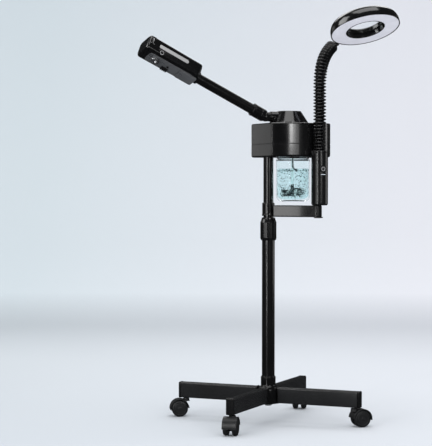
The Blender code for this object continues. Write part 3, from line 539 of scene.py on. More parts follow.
# darker tone, lighter tone, low and high roughness, grain scale, grain depth, and what differs from the usual
BLACKS = {
    "gloss_black": ((0.0022, 0.0022, 0.0024), (0.0038, 0.0038, 0.0042), (0.13, 0.22), 1400.0, 0.00003,
                    {"coat": 0.5, "wear": 0.03}),
    "satin_black": ((0.0034, 0.0034, 0.0036), (0.0055, 0.0055, 0.0060), (0.17, 0.26), 1900.0, 0.00005,
                    {"wear": 0.06}),
    "black_powder_coat": ((0.0028, 0.0028, 0.0030), (0.0050, 0.0050, 0.0053), (0.15, 0.24), 1100.0, 0.00005,
                          {"coat": 0.2, "wear": 0.08}),
    # painted light: a lighter copy of the powder coat, for the light the legs catch from the floor
    "leg_coat_painted_light": ((0.0110, 0.0112, 0.0118), (0.0165, 0.0168, 0.0175), (0.18, 0.28), 1100.0, 0.00005,
                 {"coat": 0.2, "wear": 0.10}),
    "wheel_plastic": ((0.0085, 0.0090, 0.0097), (0.0140, 0.0145, 0.0155), (0.32, 0.46), 1600.0, 0.00010,
                      {"wear": 0.30, "smudge": 60.0}),
    "neck_rubber": ((0.0028, 0.0029, 0.0030), (0.0052, 0.0053, 0.0056), (0.14, 0.22), 1500.0, 0.00004,
                    {"coat": 0.6, "wear": 0.05, "smudge": 40.0}),
    "grey_plastic": ((0.060, 0.061, 0.063), (0.085, 0.086, 0.089), (0.24, 0.36), 1500.0, 0.0001,
                     {"wear": 0.12}),
    # pale tone for the button's printed mark, and for painted highlights: the nozzle's side reflection, front edge
    # and knob crescent
    "pale_print_and_painted_highlight": ((0.27, 0.265, 0.265), (0.35, 0.345, 0.345), (0.24, 0.36), 1500.0, 0.0001,
                     {"wear": 0.12}),
    "button_face": ((0.014, 0.014, 0.015), (0.020, 0.020, 0.022), (0.20, 0.30), 1500.0, 0.00006,
                    {"wear": 0.10}),
    "nylon": ((0.62, 0.62, 0.59), (0.70, 0.70, 0.67), (0.45, 0.6), 900.0, 0.0002, {"wear": 0.05}),
}
MATERIALS = {name: black_finish(name, *values, **extra) for name, (*values, extra) in BLACKS.items()}
MATERIALS |= {
    "stainless_steel": brushed_metal("stainless_steel", (0.60, 0.61, 0.63), 0.28),
    "zinc_steel": brushed_metal("zinc_steel", (0.62, 0.63, 0.64), 0.34),
    # painted light: this steel glows with emission, as if lit by the water round it
    "steel_with_painted_glow": brushed_metal("steel_with_painted_glow", (0.60, 0.74, 0.76), 0.42, metal=0.35, glow=0.55),
    "dark_steel": brushed_metal("dark_steel", (0.10, 0.105, 0.11), 0.25),
    "heater_metal": heater_metal(),
    "clear_glass": clear("jar_glass", ((0.88, 0.965, 0.975), (0.94, 0.985, 0.99)), 5.0,
                         (0.0, 0.045, 60.0, 4.0, 0.45, 0.75), 1.09, bump=(14.0, 2.0, 0.06, 0.0008)),
    "water": clear("water", ((0.72, 0.91, 0.91), (0.86, 0.97, 0.97)), 26.0,
                   (0.02, 0.02, 90.0, 3.0, 0.3, 0.7), 1.10, detail=4.0, bump=(90.0, 3.0, 0.5, 0.0025)),
    # painted highlight: near-white, half-opaque bubbles paint the light they catch
    "bubble": clear("bubble", ((0.80, 0.95, 0.96), (0.98, 1.0, 1.0)), 300.0,
                    (0.02, 0.08, 500.0, 3.0, 0.3, 0.7), 1.12, transmission=0.4),
    # painted shade: a dark copy of the bubble for bubbles that look dark
    "painted_shade_bead": clear("painted_shade_bead", ((0.06, 0.12, 0.125), (0.20, 0.33, 0.34)), 300.0,
                       (0.05, 0.15, 500.0, 3.0, 0.3, 0.7), 1.2, transmission=0.35),
    "lens_glass": clear("lens_glass", ((0.95, 0.975, 0.985), (0.99, 0.995, 1.0)), 7.0,
                        (0.0, 0.02, 35.0, 4.0, 0.5, 0.8), 1.12),
    "opal_diffuser": opal_diffuser(),
    "circuit_board": plain_board(),
    "indicator_light": indicator_light(),
}
# finishes that aren't a slot of the record, and the slot each is a shade of
SLOTS = {
    "leg_coat_painted_light": "black_powder_coat",
    **dict.fromkeys(("pale_print_and_painted_highlight", "button_face", "indicator_light"), "grey_plastic"),
    **dict.fromkeys(("steel_with_painted_glow", "dark_steel", "heater_metal"), "stainless_steel"),
    **dict.fromkeys(("water", "bubble", "painted_shade_bead", "lens_glass"), "clear_glass"),
}


def finish_cad_nodes():
    """Every CAD node takes the procedural material of its own slot."""
    slots = {part["node"]: part["material_slot"] for part in frame["record"]["subparts"]}
    for name, obj in frame["nodes"].items():
        made = MATERIALS[slots[name]]
        if obj.data.materials:
            for i in range(len(obj.data.materials)):
                obj.data.materials[i] = made
        else:
            obj.data.materials.append(made)


# ---------------------------------------------------------------- base and casters

LEG_CORNER = 0.0042    # radius of the legs' long edges


def hub():
    low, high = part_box("base_hub")
    centre, wide = middle_of("base_hub")
    leg_low, leg_high = (corner.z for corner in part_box("leg_right"))
    narrow = 0.0185
    outside = [(narrow - 0.0006, high.z), (narrow, high.z - 0.001), (narrow, leg_high + 0.0030),
               (0.0212, leg_high + 0.0006), (wide - 0.0016, leg_high - 0.006),
               (wide - 0.0004, leg_high - 0.016), (wide, leg_low), (wide - 0.002, low.z)]
    profile = outside + [(0.006, low.z), (0.006, low.z + 0.002), (0.0164, high.z - 0.03), (0.0164, high.z)]
    turned("hub_casting", profile, shift(*centre), "base", "black_powder_coat", "base_hub",
           closed=True, soft=0.0016)
    band = [(narrow + 0.0005, high.z - 0.0028), (narrow + 0.0005, high.z - 0.0042),
            (narrow - 0.001, high.z - 0.0046), (narrow - 0.001, high.z - 0.0024)]
    turned("hub_lip", band, shift(*centre), "base", "black_powder_coat", closed=True)


def legs():
    for side in SIDES:
        corner = joint_place(f"caster_{side}_swivel")
        out = Vector((corner.x - COLUMN.x, corner.y - COLUMN.y, 0)).normalized()
        along = axes_matrix(COLUMN, Vector((0, 0, 1)).cross(out), Vector((0, 0, 1)), out)
        start, end = local_span("leg_" + side, along, 2)
        low, high = local_span("leg_" + side, along, 1)
        width, height, middle = 2 * local_span("leg_" + side, along, 0)[1], high - low, (low + high) / 2
        lifted = along @ shift(0, middle, 0)
        tube = prism("leg_tube_" + side, rounded_rectangle(width, height, LEG_CORNER), start, end, lifted,
                     edge=0.0002, steps=2)
        # painted light: the legs take the lighter copy of the powder coat
        place(tube, "base", "leg_coat_painted_light", "leg_" + side)
        cap_end = local_span("leg_cap_" + side, along, 2)[1]
        head = rounded_rectangle(width + 0.0008, height + 0.0008, 0.0036)
        cap = prism("leg_cap_shell_" + side, head, end + 0.0003, cap_end, lifted, edge=0.0026, steps=6)
        place(cap, "base", "satin_black", "leg_cap_" + side)
        weld = prism("leg_collar_" + side, [(x * 1.04, y * 1.03) for x, y in head],
                     start - 0.0006, start + 0.0030, lifted, edge=0.0008, steps=3)
        place(weld, "base", "black_powder_coat")


def caster_frame(side):
    """X trails from the swivel to the axle, Y is the axle, Z is up; the origin is on the floor."""
    swivel, axle = joint_place(f"caster_{side}_swivel"), joint_place(f"wheel_{side}_a_spin")
    trail = Vector((axle.x - swivel.x, axle.y - swivel.y, 0))
    out = trail.normalized()
    up = Vector((0, 0, 1))
    return axes_matrix(Vector((swivel.x, swivel.y, 0)), out, up.cross(out), up), trail.length, axle.z


def caster_fork(side, matrix, trail, height):
    """The hood over the wheels, the web between them, and the boss and stem above."""
    body = "caster_" + side
    low, high = local_span("caster_fork_" + side, matrix, 1)
    top = 0.0462
    outer, inner = 0.0245, height + 0.0014
    across = matrix @ turn(90, "X")
    shell = arc((trail, height), outer, -8, 176, 40) + arc((trail, height), inner, 176, -8, 40)
    hood = prism("caster_hood_" + side, shell, -high, -low, across, edge=0.0006, steps=3)
    place(hood, body, "wheel_plastic", "caster_fork_" + side)
    web = arc((trail, height), outer - 0.0008, -8, 176, 32) + arc((trail, height), 0.0105, 215, 325, 12)
    place(prism("caster_web_" + side, web, -0.0048, 0.0048, across, edge=0.0008), body, "wheel_plastic")
    boss = [(0, top + 0.0010), (0.0060, top + 0.0010), (0.0085, top - 0.0006),
            (0.0085, top - 0.0046), (0.0098, top - 0.0070), (0, top - 0.0070)]
    turned("caster_boss_" + side, boss, matrix, body, "wheel_plastic", soft=0.0008, sides=48)
    stem = [(0, top + 0.014), (0.0045, top + 0.014), (0.0045, top + 0.0005), (0, top + 0.0005)]
    turned("caster_stem_" + side, stem, matrix, body, "zinc_steel", sides=32)


def caster_wheel(side, letter, matrix, trail):
    node = f"wheel_{side}_{letter}"
    low, high = local_span(node, matrix, 1)
    outward = 1 if high > 0 and low >= 0 else -1
    half, radius = (high - low) / 2, 0.021
    centre = matrix @ shift(trail, (low + high) / 2, radius) @ turn(-90 * outward, "X")
    hub_face = [(0, half + 0.0004), (0.0036, half + 0.0003), (0.0044, half - 0.0002), (0.0135, half - 0.0003)]
    groove = [(0.0142, half - 0.0011), (0.0150, half - 0.0011), (0.0156, half - 0.0002)]
    tread = [(0.0178, half - 0.0006), (0.0202, half - 0.0020), (radius - 0.0001, half - 0.0042),
             (radius - 0.0001, 0.0012 - half), (0.0198, -half), (0.0040, -half), (0, -half)]
    turned(f"caster_wheel_{side}_{letter}", hub_face + groove + tread, centre, node, "wheel_plastic", node,
           soft=0.0005, sides=80)


def casters():
    for side in SIDES:
        matrix, trail, height = caster_frame(side)
        caster_fork(side, matrix, trail, height)
        for letter in "ab":
            caster_wheel(side, letter, matrix, trail)


# ---------------------------------------------------------------- column

def simple_tube(name, node, body, inner):
    """An upright tube over a CAD tube, its bore a share of its radius."""
    low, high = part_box(node)
    centre, radius = middle_of(node)
    profile = [(radius, high.z), (radius, low.z), (radius * inner, low.z), (radius * inner, high.z)]
    turned(name, profile, shift(*centre), body, "black_powder_coat", node, closed=True, soft=0.0006)


def lock_collar():
    """Tapered grip with broad flats between grooves, as the clamp nut of a telescopic stand has."""
    low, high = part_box("lock_collar")
    radius, bottom, top = 0.0205, low.z, high.z
    flats = 12

    def grip(angle, height):
        inside = bottom + 0.0065 < height < top - 0.0125
        share = (angle * flats / (2 * pi)) % 1.0
        flat = cos(pi / flats) / cos((share - 0.5) * 2 * pi / flats)
        groove = 0.045 * max(0.0, 1 - abs(share - (1.0 if share > 0.5 else 0.0)) * 9)
        return flat * (1 - groove) if inside else 1.0

    middle = [(radius, top - 0.0130 - 0.0010 * i) for i in range(37)]
    outside = [(0.0152, top), (0.0168, top - 0.0008), (0.0172, top - 0.0040),
               (radius - 0.0006, top - 0.0115), (radius, top - 0.0123)]
    outside += [point for point in middle if point[1] > bottom + 0.0068]
    outside += [(radius, bottom + 0.0062), (0.0190, bottom + 0.0016), (0.0176, bottom)]
    profile = outside + [(0.0164, bottom), (0.0164, top - 0.048), (0.0130, top - 0.046), (0.0130, top)]
    turned("collar_grip", profile, shift(*COLUMN), "lock_collar", "satin_black", "lock_collar",
           closed=True, soft=0.0003, sides=240, wobble=grip)


def upper_sleeve():
    low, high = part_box("bracket_sleeve")
    profile = [(0.0146, high.z), (0.0155, high.z - 0.001), (0.0155, low.z + 0.0055), (0.0162, low.z + 0.0030),
               (0.0162, low.z + 0.0006), (0.0155, low.z), (0.0129, low.z), (0.0129, high.z)]
    turned("sleeve_casting", profile, shift(*COLUMN), "head", "black_powder_coat", "bracket_sleeve",
           closed=True, soft=0.0006)


def column():
    simple_tube("column_lower", "lower_tube", "base", 0.86)
    simple_tube("column_upper", "upper_tube", "head", 0.85)
    lock_collar()
    upper_sleeve()


# ---------------------------------------------------------------- bracket, post and button

def bracket():
    """The box arm under the jar, with rounded edges, and the foot plate below the post."""
    post = middle_of("lamp_post")[0]
    low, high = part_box("bottom_bracket")
    out = (post - COLUMN).normalized()
    along = axes_matrix(COLUMN, out, Vector((0, 0, 1)).cross(out), Vector((0, 0, 1)))
    start, end = local_span("bottom_bracket", along, 0)
    width = local_span("bottom_bracket", along, 1)[1]
    outline = [(x + (start + end) / 2, y) for x, y in rounded_rectangle(end - start, 2 * width, 0.0045, 10)]
    arm = prism("bracket_arm", outline, low.z, high.z, along, edge=0.0022, steps=5)
    place(arm, "head", "gloss_black", "bottom_bracket")
    foot = prism("bracket_foot", rounded_rectangle(0.014, 2 * width - 0.004, 0.003),
                 low.z - 0.0024, low.z + 0.0005, along @ shift(end - 0.004, 0, 0), edge=0.0008)
    place(foot, "head", "satin_black")


def lamp_post():
    post, radius = middle_of("lamp_post")
    low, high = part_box("lamp_post")
    bore = radius - 0.0025
    profile = [(0.0055, low.z), (radius - 0.003, low.z), (radius, low.z + 0.003), (radius, high.z),
               (bore, high.z), (bore, low.z + 0.004), (0.0055, low.z + 0.004)]
    shell = lathe("post_shell", profile, shift(*post), closed=True, soft=0.0012)
    button_low, button_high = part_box("power_button")
    middle = (button_low + button_high) / 2
    hole = (button_high.x - button_low.x) / 2 + 0.0004
    facing = Matrix.Translation((middle.x, button_low.y + 0.0012, middle.z)) @ turn(90, "X")
    cut(shell, lathe("post_hole", [(0, 0.010), (hole, 0.010), (hole, -0.008), (0, -0.008)], facing, sides=64))
    place(shell, "head", "satin_black", "lamp_post")
    cap_low, cap_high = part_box("lamp_post_cap")
    rim = [(0.0150, cap_high.z), (radius - 0.0008, cap_high.z - 0.0006), (radius + 0.0002, cap_high.z - 0.0020),
           (radius + 0.0002, cap_low.z + 0.0004), (radius - 0.0004, cap_low.z), (0.0105, cap_low.z),
           (0.0105, cap_high.z - 0.001)]
    turned("post_cap", rim, shift(*post), "head", "satin_black", "lamp_post_cap", closed=True, soft=0.0006)
    power_button(facing, hole)
    bar = block("indicator_bar", (-0.0058, -0.0006, -0.0014), (0.0058, 0.0006, 0.0003),
                shift(middle.x, post.y - radius, middle.z - 0.0135) @ turn(90, "X"), edge=0.0003)
    place(bar, "head", "indicator_light")


def power_button(facing, hole):
    """The button in its hole, the plain ring that marks it, and the bezel round it."""
    face = [(0, 0.0010), (hole - 0.0016, 0.0010), (hole - 0.0008, 0.0007), (hole - 0.0005, 0.0002),
            (hole - 0.0005, -0.0075), (0, -0.0075)]
    turned("button_cap", face, facing, "power_button", "button_face", "power_button", soft=0.0003, sides=64)
    mark = [(0.0050, 0.0008), (0.0050, 0.0013), (0.0039, 0.0013), (0.0039, 0.0008)]
    turned("button_mark", mark, facing, "power_button", "pale_print_and_painted_highlight", closed=True, soft=0.0001, sides=64)
    ring = [(hole + 0.0012, 0.0004), (hole + 0.0012, -0.0010),
            (hole + 0.0001, -0.0010), (hole + 0.0001, 0.0004)]
    turned("button_ring", ring, facing @ shift(0, 0, 0.0002), "head", "satin_black", closed=True, soft=0.0002,
           sides=64)


# ---------------------------------------------------------------- housing and dome

FRONT_BULGE = 0.022    # how far the housing's front bows out


def housing_outline():
    """The housing from above: a bowed front, a sharp near corner and rounder far ones."""
    low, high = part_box("housing_upper")
    half, middle = (high.x - low.x) / 2, (high.x + low.x) / 2
    corner_y = low.y + FRONT_BULGE
    bow = (half ** 2 + FRONT_BULGE ** 2) / (2 * FRONT_BULGE)
    centre = (middle, low.y + bow)
    swing = degrees(atan2(half, centre[1] - corner_y))
    corner, end, back = 0.0035, 0.024, 0.012
    outline = arc((low.x + back, high.y - back), back, 90, 180, 12)
    outline += arc((low.x + corner, corner_y + corner - 0.001), corner, 180, 237, 9)
    outline += arc(centre, bow, 270 - swing + 3, 270 + swing - 9, 40)
    outline += arc((high.x - end, corner_y + end - 0.001), end, 302, 360, 12)
    outline += arc((high.x - end, high.y - end), end, 0, 90, 16)
    return outline


def housing():
    low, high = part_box("housing_upper")
    bottom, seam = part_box("housing_lower")
    outline = housing_outline()
    cover = rounded_shell("housing_cover_skin", outline, low.z + 0.0003, high.z, 0.0006, 0.0036)
    place(cover, "head", "gloss_black", "housing_upper")
    tub = rounded_shell("housing_tub_skin", outline, bottom.z, seam.z - 0.0003, 0.0055, 0.0006)
    place(tub, "head", "gloss_black", "housing_lower")
    middle = (low + high) / 2
    inset = [(middle.x + (x - middle.x) * 0.990, middle.y + (y - middle.y) * 0.990) for x, y in outline]
    place(prism("housing_seam", inset, seam.z - 0.0014, low.z + 0.0014), "head", "satin_black")
    vents(low, bottom)
    cover_screws(low, high)


def vents(low, bottom):
    """A comb of small louvres that hangs under the front of the housing."""
    for i in range(5):
        at = shift(COLUMN.x + 0.028 + 0.0052 * i, low.y + 0.0035, bottom.z)
        fin = block(f"vent_fin_{i}", (-0.0013, -0.0012, -0.0028), (0.0013, 0.0040, 0.0030), at, 0.0005)
        place(fin, "head", "satin_black")


def cover_screws(low, high):
    """Two round heads that hold the cover, on the flat left end."""
    for i, z in enumerate((low.z + 0.012, high.z - 0.012)):
        at = Vector((low.x + 0.0006, high.y - 0.022, z))
        head = [(0, 0.0009), (0.0020, 0.0008), (0.0027, 0.0002), (0.0027, -0.001), (0, -0.001)]
        turned(f"cover_screw_{i}", head, aimed(at, Vector((-1, 0, 0))), "head", "dark_steel", sides=40)


def dome():
    low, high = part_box("top_dome")
    radius = (high.y - low.y) / 2
    centre = Vector((high.x - radius, (high.y + low.y) / 2, 0))
    narrow = 0.0305
    profile = [(0, high.z), (narrow - 0.0012, high.z), (narrow, high.z - 0.001),
               (radius - 0.0012, low.z + 0.0036), (radius, low.z + 0.0024), (radius, low.z), (0, low.z)]
    turned("dome_cover", profile, shift(*centre), "head", "gloss_black", "top_dome", soft=0.0012)
    pipe = aimed(Vector((low.x, centre.y, joint_place("arm_swing").z)), Vector((1, 0, 0)))
    outside = [(0.0112, 0), (0.0130, 0), (0.0135, 0.0006), (0.0135, 0.0060), (0.0138, 0.0064),
               (0.0138, 0.0072), (0.0135, 0.0076), (0.0135, 0.034), (0.0112, 0.034)]
    turned("outlet_pipe", outside, pipe, "head", "gloss_black", closed=True, soft=0.0004)


def inlet_pins():
    """The three pins inside the mains inlet."""
    low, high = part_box("mains_inlet")
    middle = (low + high) / 2
    for i, (across, up) in enumerate(((-0.006, -0.002), (0, 0.003), (0.006, -0.002))):
        pin = block(f"inlet_pin_{i}", (-0.0011, -0.0008, -0.0022), (0.0011, 0.0030, 0.0022),
                    shift(middle.x + across, middle.y, middle.z + up), 0.0004)
        place(pin, "head", "zinc_steel")


# ---------------------------------------------------------------- boiler

WATER_SHARE = 0.77     # how much of the jar's height is water


def jar():
    """The glass with its water; gives back the jar's middle, inner radius, floor and water level."""
    low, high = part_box("jar")
    centre, radius = middle_of("jar")
    neck, wall, base = 0.0370, 0.0026, 0.014
    shoulder = high.z - 0.0125
    under_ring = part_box("jar_ring")[0].z - 0.0004
    outside = [(neck, high.z), (neck, under_ring), (radius - 0.0025, under_ring), (radius, under_ring - 0.0030)]
    outside += arc((radius - base, low.z + base), base, 0, -84, 12)
    outside += [(0.012, low.z + 0.0012), (0, low.z + 0.0016)]
    floor = low.z + 0.0045
    inner = radius - wall
    inside = [(0, floor)] + arc((inner - base, floor + base), base, -88, 0, 12)
    inside += [(inner, under_ring - 0.0045), (neck - wall, under_ring - 0.0020), (neck - wall, high.z)]
    rim = [(neck - wall, high.z), (neck, high.z)]
    turned("jar_glass", outside + inside + rim, shift(*centre), "jar", "clear_glass", "jar", soft=0.0008)
    level = floor + (shoulder - floor) * WATER_SHARE + 0.0005
    gap = 0.0003
    body = [(0, level), (inner - 0.006, level), (inner - gap, level + 0.0008)]
    body += arc((inner - gap - base, floor + gap + base), base, 0, -88, 12) + [(0, floor + gap)]
    turned("jar_water", body, shift(*centre), "jar", "water", soft=0)
    return centre, inner, floor, level


CLEAR_OF_LEAD = 0.0250  # above the element, bubbles keep this far from the jar's axis so that it can turn


def bubbles(centre, inner, floor, level):
    """Steam bubbles: froth at the surface, strings that rise, a cloud round the element, beads on the wall."""
    rng = random.Random(11)
    # share of seven, reach as a share of the inner radius, height, radius
    kinds = ((1, (0.2, 0.93), (level - 0.0012, level - 0.007), (0.0006, 0.0014)),
             (2, (0.30, 0.90), (floor + 0.012, level - 0.002), (0.0006, 0.0014)),
             (2, (0.46, 0.76), (floor + 0.007, floor + 0.028), (0.0007, 0.0016)),
             (2, (0.88, 0.94), (floor + 0.014, level - 0.001), (0.0006, 0.0012)))
    cycle = [kind for count, *kind in kinds for _ in range(count)]
    bright, dark = bmesh.new(), bmesh.new()
    for i in range(560):
        reaches, heights, radii = cycle[i % len(cycle)]
        angle = rng.uniform(0, 2 * pi)
        reach, height, radius = rng.uniform(*reaches) * inner, rng.uniform(*heights), rng.uniform(*radii)
        if height > floor + 0.030 and reach < CLEAR_OF_LEAD:
            reach = CLEAR_OF_LEAD + 0.35 * (CLEAR_OF_LEAD - reach)
        at = shift(centre.x + reach * cos(angle), centre.y + reach * sin(angle), height)
        # every other bubble goes to the dark copy, which paints shade; the rest paint light
        bmesh.ops.create_icosphere(dark if i % 2 else bright, subdivisions=2, radius=radius, matrix=at)
    place(finish_mesh("jar_bubbles", bright, None), "jar", "bubble")
    place(finish_mesh("jar_painted_shade_beads", dark, None), "jar", "painted_shade_bead")


def boiler():
    """The jar, what is in it, and the knurled ring that holds it."""
    centre, inner, floor, level = jar()
    bubbles(centre, inner, floor, level)
    low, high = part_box("jar_ring")
    outer = (high.x - low.x) / 2

    def knurl(angle, height):
        return 1 - 0.014 * (0.5 + 0.5 * cos(angle * 60)) if height < low.z + 0.0026 else 1.0

    bore = 0.0374
    profile = [(bore, high.z), (outer - 0.0004, high.z), (outer, high.z - 0.001), (outer, low.z + 0.0032),
               (outer - 0.0002, low.z + 0.0024), (outer - 0.0002, low.z + 0.0010), (outer - 0.001, low.z),
               (bore, low.z)]
    turned("ring_nut", profile, shift(*centre), "jar_ring", "satin_black", "jar_ring", closed=True, soft=0.0003,
           sides=288, wobble=knurl)
    heater(centre)
    probe(centre)


def heater(centre):
    """The coiled element and the lead that comes down to it."""
    low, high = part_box("heater_coil")
    turns, per_turn, rise, wire = 1.75, 64, 0.0095, 0.0033
    radius = 0.0240
    path = []
    for i in range(int(turns * per_turn) + 1):
        angle = radians(160) + 2 * pi * i / per_turn
        path.append(Vector((radius * cos(angle), radius * sin(angle), low.z + wire + rise * i / per_turn)))
    end = path[-1]
    for k in range(1, 9):
        share = k / 8
        nearer = 1 - 0.19 * share
        path.append(Vector((end.x * nearer, end.y * nearer, end.z + 0.012 * share ** 0.7)))
    coil = sweep("heater_element", path, [wire] * len(path), 24, shift(*centre))
    place(coil, "head", "heater_metal", "heater_coil")
    last = path[-1]
    lead = [last + Vector((0, 0, (high.z - last.z) * k / 4)) for k in range(5)]
    # painted light: the lead glows through its steel's emission
    place(sweep("heater_lead", lead, [wire - 0.0002] * 5, 24, shift(*centre)), "head", "steel_with_painted_glow")


def probe(centre):
    """The bent sensing rod that hangs from the flange in front of the element's lead."""
    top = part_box("level_probe")[1].z
    path = [Vector((-0.006, -0.012, top - 0.020 * k / 6)) for k in range(7)]
    for k in range(1, 10):
        angle = radians(10 * k)
        aside = 1 - cos(angle)
        path.append(Vector((-0.006 + 0.011 * aside, -0.012 - 0.004 * aside, top - 0.020 - 0.0118 * sin(angle))))
    rod = sweep("probe_rod", path, [0.0022] * len(path), 24, shift(*centre))
    place(rod, "head", "heater_metal", "level_probe")


# ---------------------------------------------------------------- steam arm

def steam_arm():
    """The ball and neck of the elbow, the nut, the tube and the ring before the nozzle."""
    radius = 0.0122
    ball = [(radius * sin(pi * k / 24), radius * cos(pi * k / 24)) for k in range(25)]
    turned("elbow_ball", ball, ARM, "arm", "gloss_black", "arm_elbow", soft=0, sides=64)
    inward = aimed(joint_place("arm_swing"), Vector((1, 0, 0)))
    reach = local_span("arm_elbow", inward, 2)[1]
    neck = [(0, reach), (radius - 0.0006, reach), (radius, reach - 0.0006), (radius, reach - 0.0024),
            (radius - 0.0005, reach - 0.0028), (radius - 0.0005, 0), (0, 0)]
    turned("elbow_neck", neck, inward, "arm", "satin_black", soft=0.0003, sides=64)
    start, end = local_span("arm_nut", ARM, 2)
    radius = local_radius("arm_nut", ARM)
    body = radius - 0.0009
    lip = [(0.0148, end), (radius, end - 0.0006), (radius, end - 0.0042), (body, end - 0.0050)]
    groove = [(body, start + 0.014), (body - 0.0004, start + 0.0134), (body - 0.0004, start + 0.0122),
              (body, start + 0.0116)]
    tail = [(body, start + 0.003), (body - 0.0012, start), (0.0129, start), (0.0129, end)]
    turned("nut_sleeve", lip + groove + tail, ARM, "arm", "gloss_black", "arm_nut", closed=True, soft=0.0005)
    low, high = local_span("arm_tube", ARM, 2)
    tube = [(0.0125, high), (0.0125, low), (0.0107, low), (0.0107, high)]
    turned("arm_pipe", tube, ARM, "arm", "black_powder_coat", "arm_tube", closed=True)
    low, high = local_span("arm_collar", ARM, 2)
    ring = [(0.0150, high), (0.0158, high - 0.0008), (0.0158, low + 0.0008), (0.0150, low),
            (0.0129, low), (0.0129, high)]
    turned("arm_ring", ring, ARM, "arm", "satin_black", "arm_collar", closed=True, soft=0.0005)


SQUARENESS = 0.34      # the power that squares the nozzle's oval section
END_ROUNDING = 0.007
FRONT_CAP = 0.948      # where along the nozzle its front cap starts


def nozzle_section(along, length):
    """Half width and half height between the nozzle's rear, 0, and its front, 1."""
    closing = max(0.0, 1 - min(along, 1 - along) * length / END_ROUNDING)
    inset = END_ROUNDING * (1 - sqrt(1 - closing ** 2))
    return 0.0275 + 0.0020 * along - inset, 0.0203 + 0.0007 * along - inset


def nozzle_rings(first, last, inset, count, sides=96):
    low, high = local_span("nozzle_shell", NOZZLE, 2)
    rings = []
    for i in range(count):
        along = first + (last - first) * (1 - cos(pi * i / (count - 1))) / 2
        width, height = nozzle_section(along, high - low)
        ring = []
        for j in range(sides):
            angle = 2 * pi * (j + 0.5) / sides
            x = copysign(abs(cos(angle)) ** SQUARENESS, cos(angle))
            y = copysign(abs(sin(angle)) ** SQUARENESS, sin(angle))
            ring.append(((width - inset) * x, (height - inset) * y, low + (high - low) * along))
        rings.append(ring)
    return rings


def side_matrix(out, up, along):
    """On the nozzle's side that faces the front: X towards its rear, Y up, Z out."""
    return NOZZLE @ Matrix(((0, 0, 1, out), (0, 1, 0, up), (-1, 0, 0, along), (0, 0, 0, 1)))


def side_panel(name, start, end, low, high, out, finish, edge=0.0006):
    """A rounded plate on the nozzle's side, from start to end along it."""
    outline = rounded_rectangle(end - start, high - low, (high - low) * 0.42, 10)
    plate = prism(name, outline, -0.0030, 0.0, side_matrix(out, (low + high) / 2, (start + end) / 2), edge=edge,
                  steps=3)
    place(plate, "nozzle", finish)


def under_matrix(low, along, across=0.0):
    """On the nozzle's underside: X across, Y towards its front, Z up into it."""
    return NOZZLE @ Matrix(((-1, 0, 0, across), (0, 0, 1, low), (0, 1, 0, along), (0, 0, 0, 1)))


def nozzle():
    rear, front = local_span("nozzle_shell", NOZZLE, 2)
    # name, first and last share along the nozzle, inset, number of rings, finish
    skins = (("nozzle_case", 0, FRONT_CAP, 0, 30, "gloss_black"),
             ("nozzle_seam", FRONT_CAP - 0.004, FRONT_CAP + 0.006, 0.0007, 3, "satin_black"),
             ("nozzle_visor", FRONT_CAP + 0.004, 1.0, 0, 24, "gloss_black"),
             ("nozzle_cap_seam", 0.075, 0.083, -0.0002, 3, "satin_black"))
    for name, first, last, inset, count, finish in skins:
        place(loft(name, nozzle_rings(first, last, inset, count), NOZZLE), "nozzle", finish)
    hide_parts("nozzle_shell")
    side = nozzle_section(0.5, front - rear)[0]
    side_panel("nozzle_side_panel", rear + 0.018, front - 0.032, -0.0180, -0.0042, side + 0.0009, "satin_black")
    # painted reflection: a pale strip for the long light reflection on the nozzle's dark side
    side_panel("nozzle_painted_reflection_strip", rear + 0.040, front - 0.031, -0.0034, 0.0062, side + 0.0008, "pale_print_and_painted_highlight")
    # painted highlight: a pale strip for the light on the nozzle's rounded front edge
    side_panel("nozzle_painted_edge_highlight", front - 0.0125, front - 0.0098, -0.003, 0.0165, side + 0.0012,
               "pale_print_and_painted_highlight", 0.0004)
    knob = side_matrix(side + 0.0012, -0.0135, front - 0.0415)
    # painted highlight: the knob's pale ring paints a crescent of light round it
    ring = [(0.0052, 0.0), (0.0052, -0.002), (0.0042, -0.002), (0.0042, 0.0)]
    turned("nozzle_knob_painted_highlight", ring, knob, "nozzle", "pale_print_and_painted_highlight", closed=True, soft=0.0003, sides=64)
    disc = [(0, -0.0004), (0.0038, -0.0006), (0.0041, -0.002), (0, -0.002)]
    turned("nozzle_knob", disc, knob, "nozzle", "satin_black", soft=0.0003, sides=64)
    nozzle_under()
    spout()


def nozzle_under():
    """The grey underside plate with its step, screw, vent and lug."""
    start, end = local_span("nozzle_base", NOZZLE, 2)
    low = local_span("nozzle_base", NOZZLE, 1)[0]
    width = 2 * local_span("nozzle_base", NOZZLE, 0)[1]
    spout_along = (NOZZLE.inverted() @ joint_place("spout_ring_turn")).z
    plate = prism("nozzle_plate", rounded_rectangle(width, end - start, 0.007), -0.0008, 0.0022,
                  under_matrix(low, (start + end) / 2), edge=0.0005)
    place(plate, "nozzle", "grey_plastic", "nozzle_base")
    step = prism("nozzle_step", rounded_rectangle(width - 0.002, 0.046, 0.004), -0.0042, 0.0010,
                 under_matrix(low, start + 0.010), edge=0.0012)
    place(step, "nozzle", "grey_plastic")
    screw = [(0, 0.0002), (0.0022, 0.0002), (0.0028, -0.0004), (0.0028, -0.0012), (0, -0.0012)]
    turned("nozzle_screw", screw, under_matrix(low - 0.0010, start + 0.062), "nozzle", "dark_steel", sides=40)
    vent = [(0, 0.001), (0.0030, 0.001), (0.0034, -0.0012), (0.0044, -0.0014), (0.0044, 0.001)]
    opening = under_matrix(low, spout_along + 0.016, 0.008)
    turned("nozzle_vent", vent, opening, "nozzle", "satin_black", sides=40)
    for i in range(4):
        rib = block(f"nozzle_lug_{i}", (-0.0060, -0.0017, -0.0056), (0.0060, 0.0017, 0.0010),
                    under_matrix(low, spout_along - 0.0260 - 0.0046 * i, -0.0130), edge=0.0008)
        place(rib, "nozzle", "satin_black")


